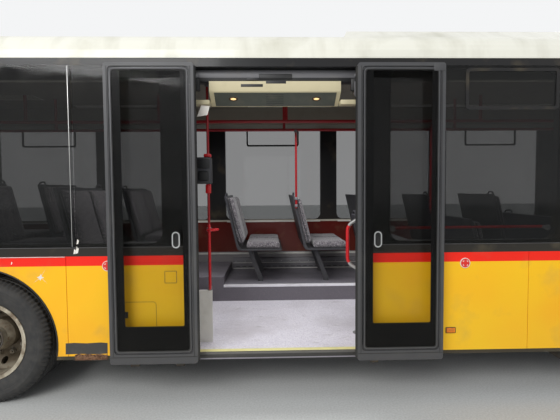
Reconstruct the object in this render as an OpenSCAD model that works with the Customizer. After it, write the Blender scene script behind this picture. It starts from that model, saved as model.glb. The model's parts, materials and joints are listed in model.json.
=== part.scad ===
// Low-floor passenger bus, twelve metres long, with an open pair of outward sliding doors
// amidships and a pair of inward swinging doors at the front.
// +X is forward, +Y is the driver's side (left), +Z is up. The origin is on the ground,
// half way along the body. Sizes are in millimetres.

/* [Body] */
// Length of the body over the bumpers
body_l = 11950; // [11800:10:12100]
// Width of the body over the side panels
body_w = 2550; // [2500:10:2600]
// Height of the roof crown above the ground
roof_z = 2850; // [2830:5:2870]
// Height of the lower edge of the side panels
skirt_z = 385; // [375:5:395]
// Depth of the black sill strip below the side panels
sill_strip = 27; // [20:1:32]
// Height of the joint between side panels and window band
waist_z = 1120; // [1110:5:1130]
// Lower edge of the bonded panes
pane_z = 1190; // [1180:5:1200]
// Gutter to the upper edge of the bonded panes
pane_drop = 50; // [40:5:60]
// Height of the roof crown above the gutter
roof_rise = 300; // [290:5:310]
// Thickness of a side wall, outer panel to inner lining
wall = 60; // [50:1:70]
// Thickness of a bonded window pane
glass_t = 6; // [5:1:8]
// Thickness of the roof, outer panel to inner frame
roof_t = 45; // [40:1:50]
// Width of a window pillar
pillar_w = 215; // [200:1:230]
// How far the front face bows forward at its middle
front_bow = 130; // [110:5:150]
// Half width of the bowed middle of the front
bow_half = 950; // [930:5:970]
// Radius of the rear corners seen from above
rear_corner_r = 190; // [160:5:220]
// Lean of the windscreen from upright, in degrees
rake = 5; // [4:0.5:7]
// Radius from the side to the roof
cove_r = 190; // [170:5:200]

/* [Axles] */
// Distance between the axles
wheelbase = 5860; // [5840:5:5880]
// Front axle to the front of the body
front_overhang = 2700; // [2650:5:2750]
// Radius of a wheel arch
arch_r = 565; // [560:1:575]
// Diameter of a tyre
tyre_d = 957; // [940:1:965]
// Width of a tyre
tyre_w = 275; // [265:1:285]
// Diameter of a rim's bead seat
rim_d = 572; // [560:1:584]
// Width of a rim over its flanges
rim_w = 230; // [220:1:240]
// Side panel to the outer face of the tyre
tyre_inset = 40; // [30:1:50]
// Distance between the centre planes of twin tyres
twin_pitch = 320; // [315:1:330]
// Kingpin to the centre plane of the front wheel
kingpin_offset = 180; // [175:1:185]
// Diameter of a kingpin
kingpin_d = 44; // [40:1:50]
// Running clearance round a pin or spindle
fit_gap = 0.3; // [0.2:0.05:0.5]

/* [Floor] */
// Height of the low floor above the ground
floor_z = 390; // [380:5:395]
// Thickness of the floor slab
floor_t = 45; // [40:1:50]
// Rise of the seat podium above the low floor
podium_rise = 173; // [160:1:185]
// Edge of the left podium from the centre line
podium_y = 209; // [190:1:230]
// Height of the rear floor above the ground
rear_floor_z = 654; // [640:2:670]
// Height of the bench deck over the engine
deck_z = 1050; // [1040:5:1060]

/* [Middle door] */
// Width of one sliding leaf
leaf_w = 625; // [615:1:630]
// Gutter to the upper edge of a sliding leaf
leaf_drop = 60; // [50:1:70]
// Thickness of a sliding leaf
leaf_t = 40; // [36:1:44]
// Gap between an open sliding leaf and the body side
leaf_gap = 60; // [50:1:70]
// How much of the doorway an open sliding leaf still covers
leaf_cover = 49; // [40:1:60]
// Height of the lower edge of a sliding leaf
leaf_z = 358; // [350:1:365]
// Width of a sliding leaf's upright frame
leaf_frame = 50; // [45:1:60]

/* [Front door] */
// Width of the front doorway
front_door_w = 1250; // [1240:2:1256]
// Front edge of the front doorway to the front of the body
front_door_x = 645; // [640:1:655]
// Thickness of a swinging leaf
swing_t = 34; // [30:1:36]
// Distance of a swinging leaf's pivot line from the inner lining
swing_line = 25; // [24:1:28]
// How far a swinging leaf's post stands beyond the doorway's edge
post_out = 25; // [23:1:28]
// Radius of a swinging leaf's post
post_r = 20; // [17:1:20]
// Gap between a swinging leaf and the edge of the doorway
jamb_gap = 14; // [13:1:17]

/* [Seats] */
// Seat rows in two bays, measured as a share of a bay
seat_share = 0.5106; // [0.5:0.0005:0.52]
// Width of a double seat
seat_w = 880; // [860:5:900]
// Height of a cushion's top above the podium
seat_rise = 465; // [450:5:480]

/* [Hidden] */

// places along and across the bus
front_x = body_l / 2;
rear_x = -front_x;
side_y = body_w / 2;
inner_y = side_y - wall;
frame_y = side_y - glass_t;
front_axle_x = front_x - front_overhang;
rear_axle_x = front_axle_x - wheelbase;
wheel_z = tyre_d / 2;
floor_under = floor_z - floor_t;
podium_z = floor_z + podium_rise;
cap_x = rear_x + rear_corner_r;
gutter_z = roof_z - roof_rise;
pane_top_z = gutter_z - pane_drop;
ceiling_z = gutter_z + 40;
duct_z = gutter_z - 158;
bay = wheelbase / 4;
seat_pitch = seat_share * bay;

// cutting blocks reach this far past the body, and the nose shell starts at nose_start
far_front = front_x + 125;
far_rear = rear_x - 125;
far_side = side_y + 125;
far_top = roof_z + 150;
low_z = 100;
nose_start = front_x - 1275;

// ring frames: 0 stands just behind the rear axle, 1 and 2 carry the middle doorway
function pillar_x(i) = rear_axle_x - 15 + i * bay;
mid_x0 = pillar_x(1) + pillar_w / 2;
mid_x1 = pillar_x(2) - pillar_w / 2;
door_x1 = front_x - front_door_x;
door_x0 = door_x1 - front_door_w;
door_xc = (door_x0 + door_x1) / 2;
mask_x = door_x1;

// wheels
wheel_y = side_y - tyre_inset - tyre_w / 2;
kingpin_y = wheel_y - kingpin_offset;
rear_disc_y = wheel_y - twin_pitch / 2;
house_r = arch_r + 10;
house_front_y = 622;
house_rear_y = 590;
house_t = 8;

// outer form of the nose
bow_r = (bow_half * bow_half + front_bow * front_bow) / (2 * front_bow);
bow_a = asin(bow_half / bow_r);
nose_r = (side_y - bow_half) / (1 - sin(bow_a));
nose_y = side_y - nose_r;
nose_x = front_x - front_bow - nose_r * cos(bow_a);
lean_z = 1000;
brow_z = gutter_z + 10;
brow_x = front_x - (brow_z - lean_z) * tan(rake);
brow2_z = gutter_z + 130;
brow2_x = brow_x - (brow2_z - brow_z) * tan(24);
brow3_z = gutter_z + 250;
brow3_x = brow2_x - (brow3_z - brow2_z) * tan(48);

// roof cross-section
roof_a = 10;
roof_r = (side_y - cove_r * (1 - sin(roof_a))) / sin(roof_a);
cove_z = roof_z - roof_r * (1 - cos(roof_a)) - cove_r * cos(roof_a);

// n points along an arc from angle a to angle b, and one more when the end is wanted
function arc(c, r, a, b, n, last = 0) =
    [for (i = [0:n - 1 + last]) c + r * [cos(a + (b - a) * i / n), sin(a + (b - a) * i / n)]];

// plans of nose and tail, set in by t; their last facets run on past the side plane, which the
// cross-section cuts. The leaning copies of the nose have other numbers of facets, b on the bow
// and c on a corner, so that no two edges meet
function run_on(p) = concat([p[0] + 0.5 * (p[0] - p[1])], [for (i = [1:len(p) - 1]) p[i]]);

function reversed(p) = [for (i = [1:len(p)]) p[len(p) - i]];

function mirrored(p) = [for (q = p) [q[0], -q[1]]];

function nose_side(t, c) = concat([[-2 * body_l, side_y - t + 900]],
    run_on(arc([nose_x, nose_y], nose_r - t, 90, bow_a, c)));

function nose_points(t, b, c) = concat(nose_side(t, c),
    arc([front_x - bow_r, 0], bow_r - t, bow_a, -bow_a, b, 1),
    mirrored(reversed(nose_side(t, c))));

function tail_side(t) = concat([[2 * body_l, side_y - t + 900]],
    run_on(arc([cap_x, side_y - rear_corner_r], rear_corner_r - t, 90, 180, 6, 1)));

function tail_points(t) = concat(tail_side(t), mirrored(reversed(tail_side(t))));

function section_points(t, z) = concat([[side_y - t, z]],
    arc([side_y - cove_r, cove_z], cove_r - t, 0, 90 - roof_a, 6),
    arc([0, roof_z - roof_r], roof_r - t, 90 - roof_a, 90 + roof_a, 10),
    arc([cove_r - side_y, cove_z], cove_r - t, 90 + roof_a, 180, 6, 1),
    [[t - side_y, z]]);

// height of the roof's outer surface at distance y from the centre line
function roof_at(y) = roof_z - roof_r + sqrt(roof_r * roof_r - y * y);

// a profile in Y and Z drawn out along X
module along_x(x0, x1, points) {
    translate([x0, 0, 0]) rotate([90, 0, 90]) linear_extrude(x1 - x0) polygon(points);
}

// a profile in X and Z drawn out along Y
module along_y(y0, y1) {
    translate([0, y1, 0]) rotate([90, 0, 0]) linear_extrude(y1 - y0) children();
}

// a block from its two opposite corners
module block(a, b) {
    translate([min(a[0], b[0]), min(a[1], b[1]), min(a[2], b[2])])
        cube([abs(b[0] - a[0]), abs(b[1] - a[1]), abs(b[2] - a[2])]);
}

module both_sides() {
    children();
    mirror([0, 1, 0]) children();
}

// a rod of radius r between two heights
module post(x, y, z0, z1, r) {
    translate([x, y, z0]) cylinder(h = z1 - z0, r = r, $fn = 24);
}

// a rod of radius r along X or along Y
module rod_x(x0, x1, y, z, r) {
    translate([x0, y, z]) rotate([0, 90, 0]) cylinder(h = x1 - x0, r = r, $fn = 24);
}

module rod_y(x, y0, y1, z, r) {
    translate([x, y0, z]) rotate([-90, 0, 0]) cylinder(h = y1 - y0, r = r, $fn = 32);
}

// a rectangle with rounded corners
module rounded(x0, z0, x1, z1, r) {
    translate([x0 + r, z0]) square([x1 - x0 - 2 * r, z1 - z0]);
    translate([x0, z0 + r]) square([x1 - x0, z1 - z0 - 2 * r]);
    for (x = [x0 + r, x1 - r], z = [z0 + r, z1 - r]) translate([x, z]) circle(r, $fn = 24);
}

// the nose plan leaned back by angle a about the line at x, z
module leaning(t, x, z, a, b, c) {
    translate([x, 0, z]) rotate([0, -a, 0]) translate([-front_x, 0, -12500])
        linear_extrude(25000) polygon(nose_points(t, b, c));
}

// everything inside the outer form, set in by t, from a little behind nose_start forward
module nose_form(t) {
    intersection() {
        along_x(nose_start - 100, front_x + 20, section_points(t, 2 * low_z));
        leaning(t, front_x, lean_z, 0, 10, 6);
        leaning(t, front_x, lean_z, rake, 11, 7);
        leaning(t, brow_x, brow_z, 24, 8, 5);
        leaning(t, brow2_x, brow2_z, 48, 9, 6);
        along_y(-side_y, side_y) polygon([[nose_start - 200, low_z], [front_x + 20, low_z],
            [front_x + 20, brow3_z - t - (front_x + 20 - brow3_x) / tan(68)],
            [nose_start - 200, brow3_z - t + (brow3_x - nose_start + 200) / tan(68)]]);
    }
}

// everything inside the outer form, set in by t, from x = cap_x + 400 to the tail
module tail_form(t) {
    intersection() {
        along_x(rear_x - 20, cap_x + 400, section_points(t, 2 * low_z));
        linear_extrude(far_top) polygon(tail_points(t));
        along_y(-side_y, side_y) polygon(concat([[cap_x + 500, 2 * low_z], [cap_x + 500, roof_z + 50 - t]],
            arc([rear_x + 260, roof_z + 10 - 260], 260 - t, 90, 180, 6, 1), [[rear_x + t, 2 * low_z]]));
    }
}

// panes and doorways along one side, in X: first and last edge of each
panes_right = [[cap_x + 85, pillar_x(-1) - 3], [pillar_x(-1) + 3, pillar_x(0.5) - 3],
    [pillar_x(0.5) + 3, mid_x0 - 58], [mid_x1 + 58, pillar_x(3) - 3],
    [pillar_x(3) + 3, pillar_x(4) - 3], [pillar_x(4) + 3, door_x0 - 58]];
panes_left = [[cap_x + 85, pillar_x(-1) - 3], [pillar_x(-1) + 3, pillar_x(0) - 3],
    [pillar_x(0) + 3, pillar_x(1) - 3], [pillar_x(1) + 3, pillar_x(2) - 3],
    [pillar_x(2) + 3, pillar_x(3) - 3], [pillar_x(3) + 3, pillar_x(4) - 3],
    [pillar_x(4) + 3, pillar_x(5) - 3], [pillar_x(5) + 3, mask_x - 3]];
// clear window openings between the ring frames, in X
bays_right = [[cap_x + 145, pillar_x(-1) - pillar_w / 2], [pillar_x(-1) + pillar_w / 2, pillar_x(0) - pillar_w / 2],
    [pillar_x(0) + pillar_w / 2, pillar_x(1) - pillar_w / 2], [pillar_x(2) + pillar_w / 2, pillar_x(3) - pillar_w / 2],
    [pillar_x(3) + pillar_w / 2, pillar_x(4) - pillar_w / 2], [pillar_x(4) + pillar_w / 2, door_x0 - 110]];
bays_left = [[cap_x + 145, pillar_x(-1) - pillar_w / 2], [pillar_x(-1) + pillar_w / 2, pillar_x(0) - pillar_w / 2],
    [pillar_x(0) + pillar_w / 2, pillar_x(1) - pillar_w / 2], [pillar_x(1) + pillar_w / 2, pillar_x(2) - pillar_w / 2],
    [pillar_x(2) + pillar_w / 2, pillar_x(3) - pillar_w / 2], [pillar_x(3) + pillar_w / 2, pillar_x(4) - pillar_w / 2],
    [pillar_x(4) + pillar_w / 2, pillar_x(5) - pillar_w / 2], [pillar_x(5) + 70, mask_x - 60]];
// left edge of each tilting vent in the upper part of a pane
vents_right = [pillar_x(2) + 656, pillar_x(3) + 656, pillar_x(-1) + 656];
vents_left = [pillar_x(-1) + 380, pillar_x(1) + 380, pillar_x(3) + 380];
vent_w = 700;
vent_z1 = pane_top_z - 20;
vent_z0 = vent_z1 - 304;

// seams between the side panels
seams_right = [rear_axle_x - 1515, rear_axle_x + 643, pillar_x(3) - 313];
seams_left = concat(seams_right, [pillar_x(2) - 330, front_axle_x + 825]);
seam_w = 4;
seam_d = 8;

// the lower side wall from the tail corner to the nose, drawn for the right side
module side_panels(seams, doors) {
    difference() {
        union() {
            block([cap_x, -side_y, skirt_z], [mask_x, -inner_y, waist_z]);
            block([cap_x, -side_y + 4, skirt_z - sill_strip], [mask_x, -side_y + 34, skirt_z]);
        }
        for (x = [rear_axle_x, front_axle_x]) rod_y(x, -side_y - 10, -inner_y + 10, wheel_z, arch_r);
        for (d = doors) block([d[0], -side_y - 10, skirt_z - 60], [d[1], -inner_y + 10, waist_z + 10]);
        for (x = seams) block([x - seam_w / 2, -side_y - 5, skirt_z - 5], [x + seam_w / 2, -side_y + seam_d, waist_z + 5]);
    }
}

// pillars and rails of the window band, drawn for the right side
module window_frame(bays, doors) {
    difference() {
        union() {
            block([cap_x, -side_y, waist_z], [mask_x, -inner_y, pane_z]);
            block([cap_x, -frame_y, pane_z], [mask_x, -inner_y, gutter_z]);
        }
        along_y(-side_y - 10, -inner_y + 10)
            for (b = bays) rounded(b[0], pane_z + 25, b[1], pane_top_z - 25, 80);
        for (d = doors) block([d[0], -side_y - 10, waist_z - 10], [d[1], -inner_y + 10, d[2]]);
    }
}

// tinted panes of one side, drawn for the right side
module window_panes(panes, vents) {
    difference() {
        along_y(-side_y, -frame_y) for (p = panes) rounded(p[0], pane_z + 2, p[1], pane_top_z - 2, 12);
        along_y(-side_y - 5, -frame_y + 5) for (x = vents) rounded(x, vent_z0, x + vent_w, vent_z1, 30);
    }
    along_y(-side_y + 1, -frame_y) for (x = vents)
        rounded(x + 26, vent_z0 + 26, x + vent_w - 26, vent_z1 - 26, 12);
}

// frames round the tilting vents, drawn for the right side
module vent_frames(vents) {
    along_y(-side_y - 3, -frame_y) for (x = vents) difference() {
        rounded(x + 1, vent_z0 + 1, x + vent_w - 1, vent_z1 - 1, 29);
        rounded(x + 25, vent_z0 + 25, x + vent_w - 25, vent_z1 - 25, 13);
    }
}

// longitudinal rails at rail_y0 to rail_y1; the rear frame is bolted on at frame_joint_x
frame_joint_x = rear_axle_x + 1145;
engine_x = rear_axle_x - 2055;
bumper_x = front_x - 725;
rail_y0 = 430;
rail_y1 = 500;
low_rail_z = 225;
high_rail_z = 560;
beam_z = 285;
beam_w = 60;
tail_beam_z = 270;
outrigger_y = side_y - 36;
pad_y = [900, 1000];
pads = [front_axle_x - 775, front_axle_x + 775];

module cross_beam(x, y0, y1, z0, z1) {
    block([x - beam_w / 2, y0, z0], [x + beam_w / 2, y1, z1]);
}

module underframe_front() {
    beams = concat([for (i = [1:3]) pillar_x(i)], pads);
    color("dimgray") {
        both_sides() {
            block([frame_joint_x, rail_y0, low_rail_z], [front_axle_x - 250, rail_y1, floor_under]);
            block([front_axle_x + 60, rail_y0, low_rail_z], [bumper_x, rail_y1, floor_under]);
            for (x = concat(beams, [pillar_x(5)])) cross_beam(x, rail_y1, outrigger_y, beam_z, floor_under);
            for (x = pads) block([x - 50, pad_y[0], beam_z - 30], [x + 50, pad_y[1], beam_z]);
        }
        difference() {
            union() {
                for (x = concat(beams, [bumper_x - beam_w / 2]))
                    cross_beam(x, -rail_y0, rail_y0, beam_z - 40, floor_under);
                block([bumper_x, -700, beam_z], [bumper_x + 80, 700, floor_under]);
                both_sides() block([bumper_x + 80, 380, beam_z], [front_x - 175, 440, floor_under]);
                both_sides() block([eye_x - 30, 398, low_rail_z], [eye_x + 30, 422, beam_z]);
            }
            both_sides() rod_y(eye_x, 390, 430, eye_z, eye_r);
        }
    }
}

// towing eyes
eye_x = front_x - 215;
eye_z = 255;
eye_r = 18;
rear_eye_x = rear_x + 105;
rear_eye_z = 252;

module underframe_rear() {
    top_z = rear_floor_z - 40;
    color("dimgray") {
        both_sides() {
            block([frame_joint_x - beam_w, rail_y0, low_rail_z], [frame_joint_x, rail_y1, top_z]);
            block([engine_x, rail_y0, high_rail_z], [frame_joint_x - beam_w, rail_y1, top_z]);
            block([engine_x - beam_w, rail_y0, tail_beam_z], [engine_x, rail_y1, top_z]);
            block([rear_x + 195, 580, tail_beam_z], [engine_x, 640, tail_beam_z + 60]);
            block([frame_joint_x - beam_w, pad_y[0], beam_z - 30], [frame_joint_x, pad_y[1], beam_z]);
            cross_beam(frame_joint_x - beam_w / 2, rail_y1, outrigger_y, beam_z, floor_under);
            block([engine_x - 50, pad_y[0], beam_z - 30], [engine_x + 50, pad_y[1], tail_beam_z + 60]);
            cross_beam(engine_x - beam_w / 2, 640, pad_y[0], tail_beam_z, tail_beam_z + 60);
        }
        cross_beam(frame_joint_x - beam_w / 2, -rail_y0, rail_y0, beam_z, floor_under);
        cross_beam(engine_x - beam_w / 2, -580, 580, tail_beam_z, tail_beam_z + 60);
        difference() {
            union() {
                block([rear_x + 135, -640, tail_beam_z], [rear_x + 195, 640, tail_beam_z + 60]);
                block([rear_eye_x - 30, -12, low_rail_z], [rear_eye_x + 30, 12, tail_beam_z + 60]);
            }
            rod_y(rear_eye_x, -20, 20, rear_eye_z, eye_r);
        }
    }
}

// steps: behind the middle doorway at step_x, up to the rear floor at rear_step_x
step_x = mid_x0 - 72.5;
rear_step_x = frame_joint_x + 40;
step_z = 522;
board = 25;
podium_x0 = mid_x0 + 65;
podium_x1 = front_axle_x - house_r - house_t - 12;

module floor() {
    color("gray") difference() {
        union() {
            block([rear_step_x, -inner_y, floor_under], [front_x - 575, inner_y, floor_z]);
            intersection() {
                nose_form(wall);
                block([front_x - 585, -inner_y, floor_under], [front_x - 75, inner_y, floor_z]);
            }
            for (d = [[mid_x0, mid_x1], [door_x0, door_x1]])
                block([d[0] + 1, -side_y + 4, floor_under], [d[1] - 1, -inner_y, floor_z]);
        }
        both_sides() block([front_axle_x - house_r - house_t - 2, house_front_y, floor_under - 5],
            [front_axle_x + house_r + house_t + 2, inner_y + 5, floor_z + 5]);
    }
}

module platforms() {
    color("silver") {
        block([podium_x0, podium_y, podium_z - board], [podium_x1, inner_y, podium_z]);
        block([podium_x0, podium_y, floor_z], [podium_x1, podium_y + board, podium_z - board]);
        block([podium_x1 - board, podium_y + board, floor_z], [podium_x1, inner_y, podium_z - board]);
        block([podium_x0 - board, podium_y, floor_z], [podium_x0, inner_y, rear_floor_z]);
        block([rear_step_x, podium_y, rear_floor_z - 40], [podium_x0 - board, inner_y, rear_floor_z]);
        block([rear_step_x + board, podium_y, floor_z],
            [podium_x0 - board, podium_y + board, rear_floor_z - 40]);
        block([rear_step_x, -inner_y, floor_z], [rear_step_x + board, inner_y, rear_floor_z - 40]);
        block([rear_step_x + board, -inner_y, step_z - board], [step_x, podium_y, step_z]);
        block([step_x - board, -inner_y, floor_z], [step_x, podium_y, step_z - board]);
        difference() {
            block([engine_x, -inner_y, rear_floor_z - 40], [rear_step_x, inner_y, rear_floor_z]);
            both_sides() block([rear_axle_x - house_r - house_t - 2, house_rear_y, rear_floor_z - 50],
                [rear_axle_x + house_r + house_t + 2, inner_y + 5, rear_floor_z + 5]);
        }
        block([rear_step_x, -inner_y, rear_floor_z - 40], [rear_step_x + board, podium_y, rear_floor_z]);
        block([engine_x - board, -inner_y, rear_floor_z - 40], [engine_x, inner_y, deck_z]);
        block([cap_x, -inner_y, deck_z - board], [engine_x - board, inner_y, deck_z]);
        intersection() {
            linear_extrude(far_top) polygon(tail_points(wall));
            block([rear_x + wall, -inner_y, deck_z - board], [cap_x, inner_y, deck_z]);
        }
    }
}

// one wheel housing: a hooped plate over the tyre and an inner plate, drawn for the left side
module housing(x, y0, slot_z) {
    difference() {
        rod_y(x, y0, inner_y, wheel_z, house_r + house_t);
        rod_y(x, y0 + house_t, inner_y + 5, wheel_z, house_r);
        block([x - 700, y0 - 5, -200], [x + 700, inner_y + 5, floor_under]);
        if (slot_z > 0) block([x - 120, y0 - 5, 100], [x + 120, y0 + house_t + 5, slot_z]);
    }
}

module wheel_housings() {
    color("darkslategray") both_sides() {
        housing(front_axle_x, house_front_y, 0);
        housing(rear_axle_x, house_rear_y, 620);
    }
}

module side_panels_right() {
    color("gold") side_panels(seams_right, [[mid_x0, mid_x1], [door_x0, door_x1]]);
}

module side_panels_left() {
    color("gold") mirror([0, 1, 0]) side_panels(seams_left, []);
}

module window_frame_right() {
    color("dimgray") difference() {
        window_frame(bays_right, [[mid_x0, mid_x1, pane_top_z - 10], [door_x0, door_x1, swing_z1 + 20]]);
        block([door_x0 - panel_gap, -far_side, swing_z1], [door_x0, far_side, gutter_z + 10]);
    }
    color("dimgray") vent_frames(vents_right);
}

module window_frame_left() {
    color("dimgray") mirror([0, 1, 0]) {
        window_frame(bays_left, []);
        vent_frames(vents_left);
    }
}

module side_windows() {
    color("lightblue") {
        window_panes(panes_right, vents_right);
        mirror([0, 1, 0]) window_panes(panes_left, vents_left);
    }
}

// the opening of the windscreen, set in by m from the pane's edge
module windscreen_hole(m) {
    block([nose_start, -1150 + m, lean_z + 8 + m], [far_front, 1150 - m, gutter_z - 227 - m]);
}

module display_hole(m) {
    block([nose_start, -1080 + m, gutter_z - 215 + m], [far_front, 1080 - m, gutter_z - 10 - m]);
}

module windscreen() {
    color("lightblue") difference() {
        intersection() {
            nose_form(0);
            union() {
                windscreen_hole(2);
                display_hole(2);
            }
        }
        nose_form(glass_t);
    }
}

// lower edge of the mask, and how far back the headlamps' pockets go
mask_z0 = 330;
lamp_x = front_x - 575;

module front_mask() {
    color("gold") difference() {
        nose_form(0);
        nose_form(wall);
        block([nose_start - 200, -far_side, low_z], [mask_x, far_side, far_top]);
        block([nose_start - 200, -far_side, gutter_z], [far_front, far_side, far_top]);
        block([nose_start - 200, -far_side, low_z], [far_front, far_side, mask_z0]);
        difference() {
            union() {
                windscreen_hole(0);
                display_hole(0);
            }
            nose_form(glass_t);
        }
        windscreen_hole(40);
        display_hole(25);
        both_sides() block([lamp_x, 720, 660], [far_front, 1120, 830]);
        post(door_xc + post_x, -swing_y, 300, gutter_z, post_r + 6);
        block([mask_x - 5, -swing_y - post_r - 6, 300], [door_xc + post_x, -swing_y + post_r + 6, gutter_z]);
        block([lamp_x + 450, -400, 440], [far_front, 400, 520]);
    }
}

module destination_display() {
    color("black") intersection() {
        difference() {
            nose_form(wall + fit_gap);
            nose_form(wall + 50);
        }
        block([nose_start, -1000, gutter_z - 188], [far_front, 1000, gutter_z - 32]);
    }
}

module headlamps() {
    color("white") intersection() {
        difference() {
            nose_form(2);
            nose_form(wall + 20);
        }
        both_sides() block([lamp_x, 720 + fit_gap, 660 + fit_gap], [far_front, 1120 - fit_gap, 830 - fit_gap]);
    }
}

// roof hatches: middle of each in X, the size of the opening and of the frame round it
hatches = [rear_axle_x - 715, front_axle_x + 825];
hatch_l = 800;
hatch_w = 600;
frame_l = hatch_l + 40;
frame_w = hatch_w + 40;
panel_gap = 0.5;
// roof and ceiling come in panels: X from and to, and 1 where a hatch takes the middle
panels = [[far_rear, hatches[0] - frame_l / 2 - 2 * panel_gap, 0],
    [hatches[0] - frame_l / 2 - panel_gap, hatches[0] + frame_l / 2 + panel_gap, 1],
    [hatches[0] + frame_l / 2 + 2 * panel_gap, hatches[1] - frame_l / 2 - 2 * panel_gap, 0],
    [hatches[1] - frame_l / 2 - panel_gap, hatches[1] + frame_l / 2 + panel_gap, 1],
    [hatches[1] + frame_l / 2 + 2 * panel_gap, far_front, 0]];

// cuts what lies between two heights into those panels
module in_panels(z0, z1) {
    difference() {
        children();
        for (i = [1:4]) block([panels[i - 1][1], -far_side, z0], [panels[i][0], far_side, z1]);
        for (p = panels) if (p[2] == 1)
            block([p[0] - panel_gap, -frame_w / 2 - panel_gap, z0], [p[1] + panel_gap, frame_w / 2 + panel_gap, z1]);
    }
}

module roof() {
    color("whitesmoke") in_panels(gutter_z - 10, far_top) {
        intersection() {
            difference() {
                nose_form(0);
                nose_form(roof_t);
            }
            block([nose_start, -far_side, gutter_z], [far_front, far_side, far_top]);
        }
        difference() {
            along_x(cap_x + 100, nose_start, section_points(0, gutter_z));
            along_x(cap_x, nose_start + 100, section_points(roof_t, gutter_z - 10));
        }
        intersection() {
            difference() {
                tail_form(0);
                tail_form(roof_t);
            }
            block([far_rear, -far_side, gutter_z], [cap_x + 100, far_side, far_top]);
        }
    }
    color("whitesmoke") for (x = hatches) hatch_pins(x);
}

module hatch_frames() {
    color("whitesmoke") for (x = hatches) {
        difference() {
            block([x - frame_l / 2, -frame_w / 2, ceiling_z], [x + frame_l / 2, frame_w / 2, curb_z]);
            block([x - hatch_l / 2, -hatch_w / 2, ceiling_z - 10], [x + hatch_l / 2, hatch_w / 2, curb_z + 10]);
        }
    }
}

hatch_hinge = hatch_l / 2 + 48;
curb_z = roof_z + 30;
unit_x0 = pillar_x(2) - 208;
unit_x1 = unit_x0 + 2778;
unit_z = roof_z + 110;
unit_under = gutter_z + 50;

module roof_unit() {
    color("gainsboro") difference() {
        intersection() {
            along_x(unit_x0, unit_x1, [[-1075, unit_under], [-1075, roof_at(1075) + 12], [-900, roof_at(900) + 90],
                [-450, unit_z], [450, unit_z], [900, roof_at(900) + 90], [1075, roof_at(1075) + 12], [1075, unit_under]]);
            along_y(-1100, 1100) polygon([[unit_x0, unit_under], [unit_x0, roof_z - 90], [unit_x0 + 100, unit_z + 1],
                [unit_x1 - 100, unit_z + 1], [unit_x1, roof_z - 90], [unit_x1, unit_under]]);
        }
        along_x(unit_x0 - 10, unit_x1 + 10, section_points(0, gutter_z));
    }
}

// lining of the roof: middle panels and, along each side, an air duct
lining_x0 = rear_x + 325;
lining_x1 = front_x - 675;
lining_y = 805;
board_t = 15;

module ceiling() {
    top_z = ceiling_z + board_t;
    color("beige") {
        in_panels(ceiling_z - 5, top_z + 5)
            block([lining_x0, -lining_y - 20, ceiling_z], [lining_x1, lining_y - panel_gap, top_z]);
        block([lining_x0, lining_y + 20, duct_z], [lining_x1, inner_y, duct_z + board_t]);
        block([lining_x0, lining_y, duct_z], [lining_x1, lining_y + 20, top_z]);
        for (s = [[lining_x0, mid_x0 - 20], [mid_x1 + 20, door_xc - 735]]) {
            block([s[0], -inner_y, duct_z], [s[1], -lining_y - 20, duct_z + board_t]);
            block([s[0], -lining_y - 20, duct_z], [s[1], -lining_y, ceiling_z - panel_gap]);
        }
    }
}

// engine lid opening in the tail, and the lid's hinge line
lid_y = 850;
lid_z0 = 440;
lid_z1 = 1176;
lid_hinge_x = rear_x + 12;
rear_pane_z0 = pane_z + 100;
rear_pane_z1 = pane_top_z - 130;
lid_hinge_z = lid_z1 - 20;

module rear_body() {
    color("gold") difference() {
        intersection() {
            difference() {
                tail_form(0);
                tail_form(wall);
            }
            block([far_rear, -far_side, skirt_z - sill_strip], [cap_x, far_side, gutter_z]);
        }
        block([far_rear, -lid_y, lid_z0], [rear_x + 175, lid_y, lid_z1]);
        block([far_rear, -1000, rear_pane_z0 + 40], [rear_x + 175, 1000, rear_pane_z1 - 40]);
        block([far_rear, -1040, rear_pane_z0], [rear_x + glass_t, 1040, rear_pane_z1]);
        both_sides() block([far_rear, 930, 560], [rear_x + 40, 1080, 1080]);
    }
    color("gold") both_sides() {
        rod_y(lid_hinge_x, 500, 540, lid_hinge_z, 10);
        block([rear_x + 2, 500, lid_hinge_z], [rear_x + 22, 540, lid_z1]);
        rod_y(lid_hinge_x, 400, 600, lid_hinge_z, 5);
    }
    color("lightblue") block([rear_x, -1038, rear_pane_z0 + 2], [rear_x + glass_t, 1038, rear_pane_z1 - 2]);
}

module tail_lamps() {
    color("red") both_sides() for (z = [562, 692, 822, 952])
        block([rear_x + 2, 932, z], [rear_x + 40, 1078, z + 126]);
}

module engine_lid() {
    color("gold") difference() {
        union() {
            block([rear_x, -lid_y + 6, lid_z0 + 6], [rear_x + 40, lid_y - 6, lid_hinge_z - 14]);
            both_sides() for (y = [[420, 494], [546, 590]]) {
                rod_y(lid_hinge_x, y[0], y[1], lid_hinge_z, 10);
                block([rear_x + 2, y[0], lid_hinge_z - 14], [rear_x + 22, y[1], lid_hinge_z]);
            }
        }
        both_sides() rod_y(lid_hinge_x, 380, 620, lid_hinge_z, 5 + fit_gap);
        for (z = [560, 610, 660, 710, 760]) block([rear_x - 5, -500, z], [rear_x + 50, 500, z + 20]);
    }
}

// a lid that lies on a roof curb and lifts at its rear edge
module hatch_lid(x) {
    difference() {
        union() {
            block([x - hatch_l / 2 - 30, -hatch_w / 2 - 30, curb_z + 1], [x + hatch_l / 2 + 30, hatch_w / 2 + 30, curb_z + 26]);
            both_sides() rod_y(x + hatch_hinge, 150, 220, curb_z + 13, 11);
            both_sides() block([x + hatch_l / 2 + 30, 150, curb_z + 8], [x + hatch_hinge, 220, curb_z + 18]);
        }
        block([x - hatch_l / 2 - 10, -hatch_w / 2 - 10, curb_z], [x + hatch_l / 2 + 10, hatch_w / 2 + 10, curb_z + 18]);
        both_sides() rod_y(x + hatch_hinge, 140, 230, curb_z + 13, 5 + fit_gap);
    }
}

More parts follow.
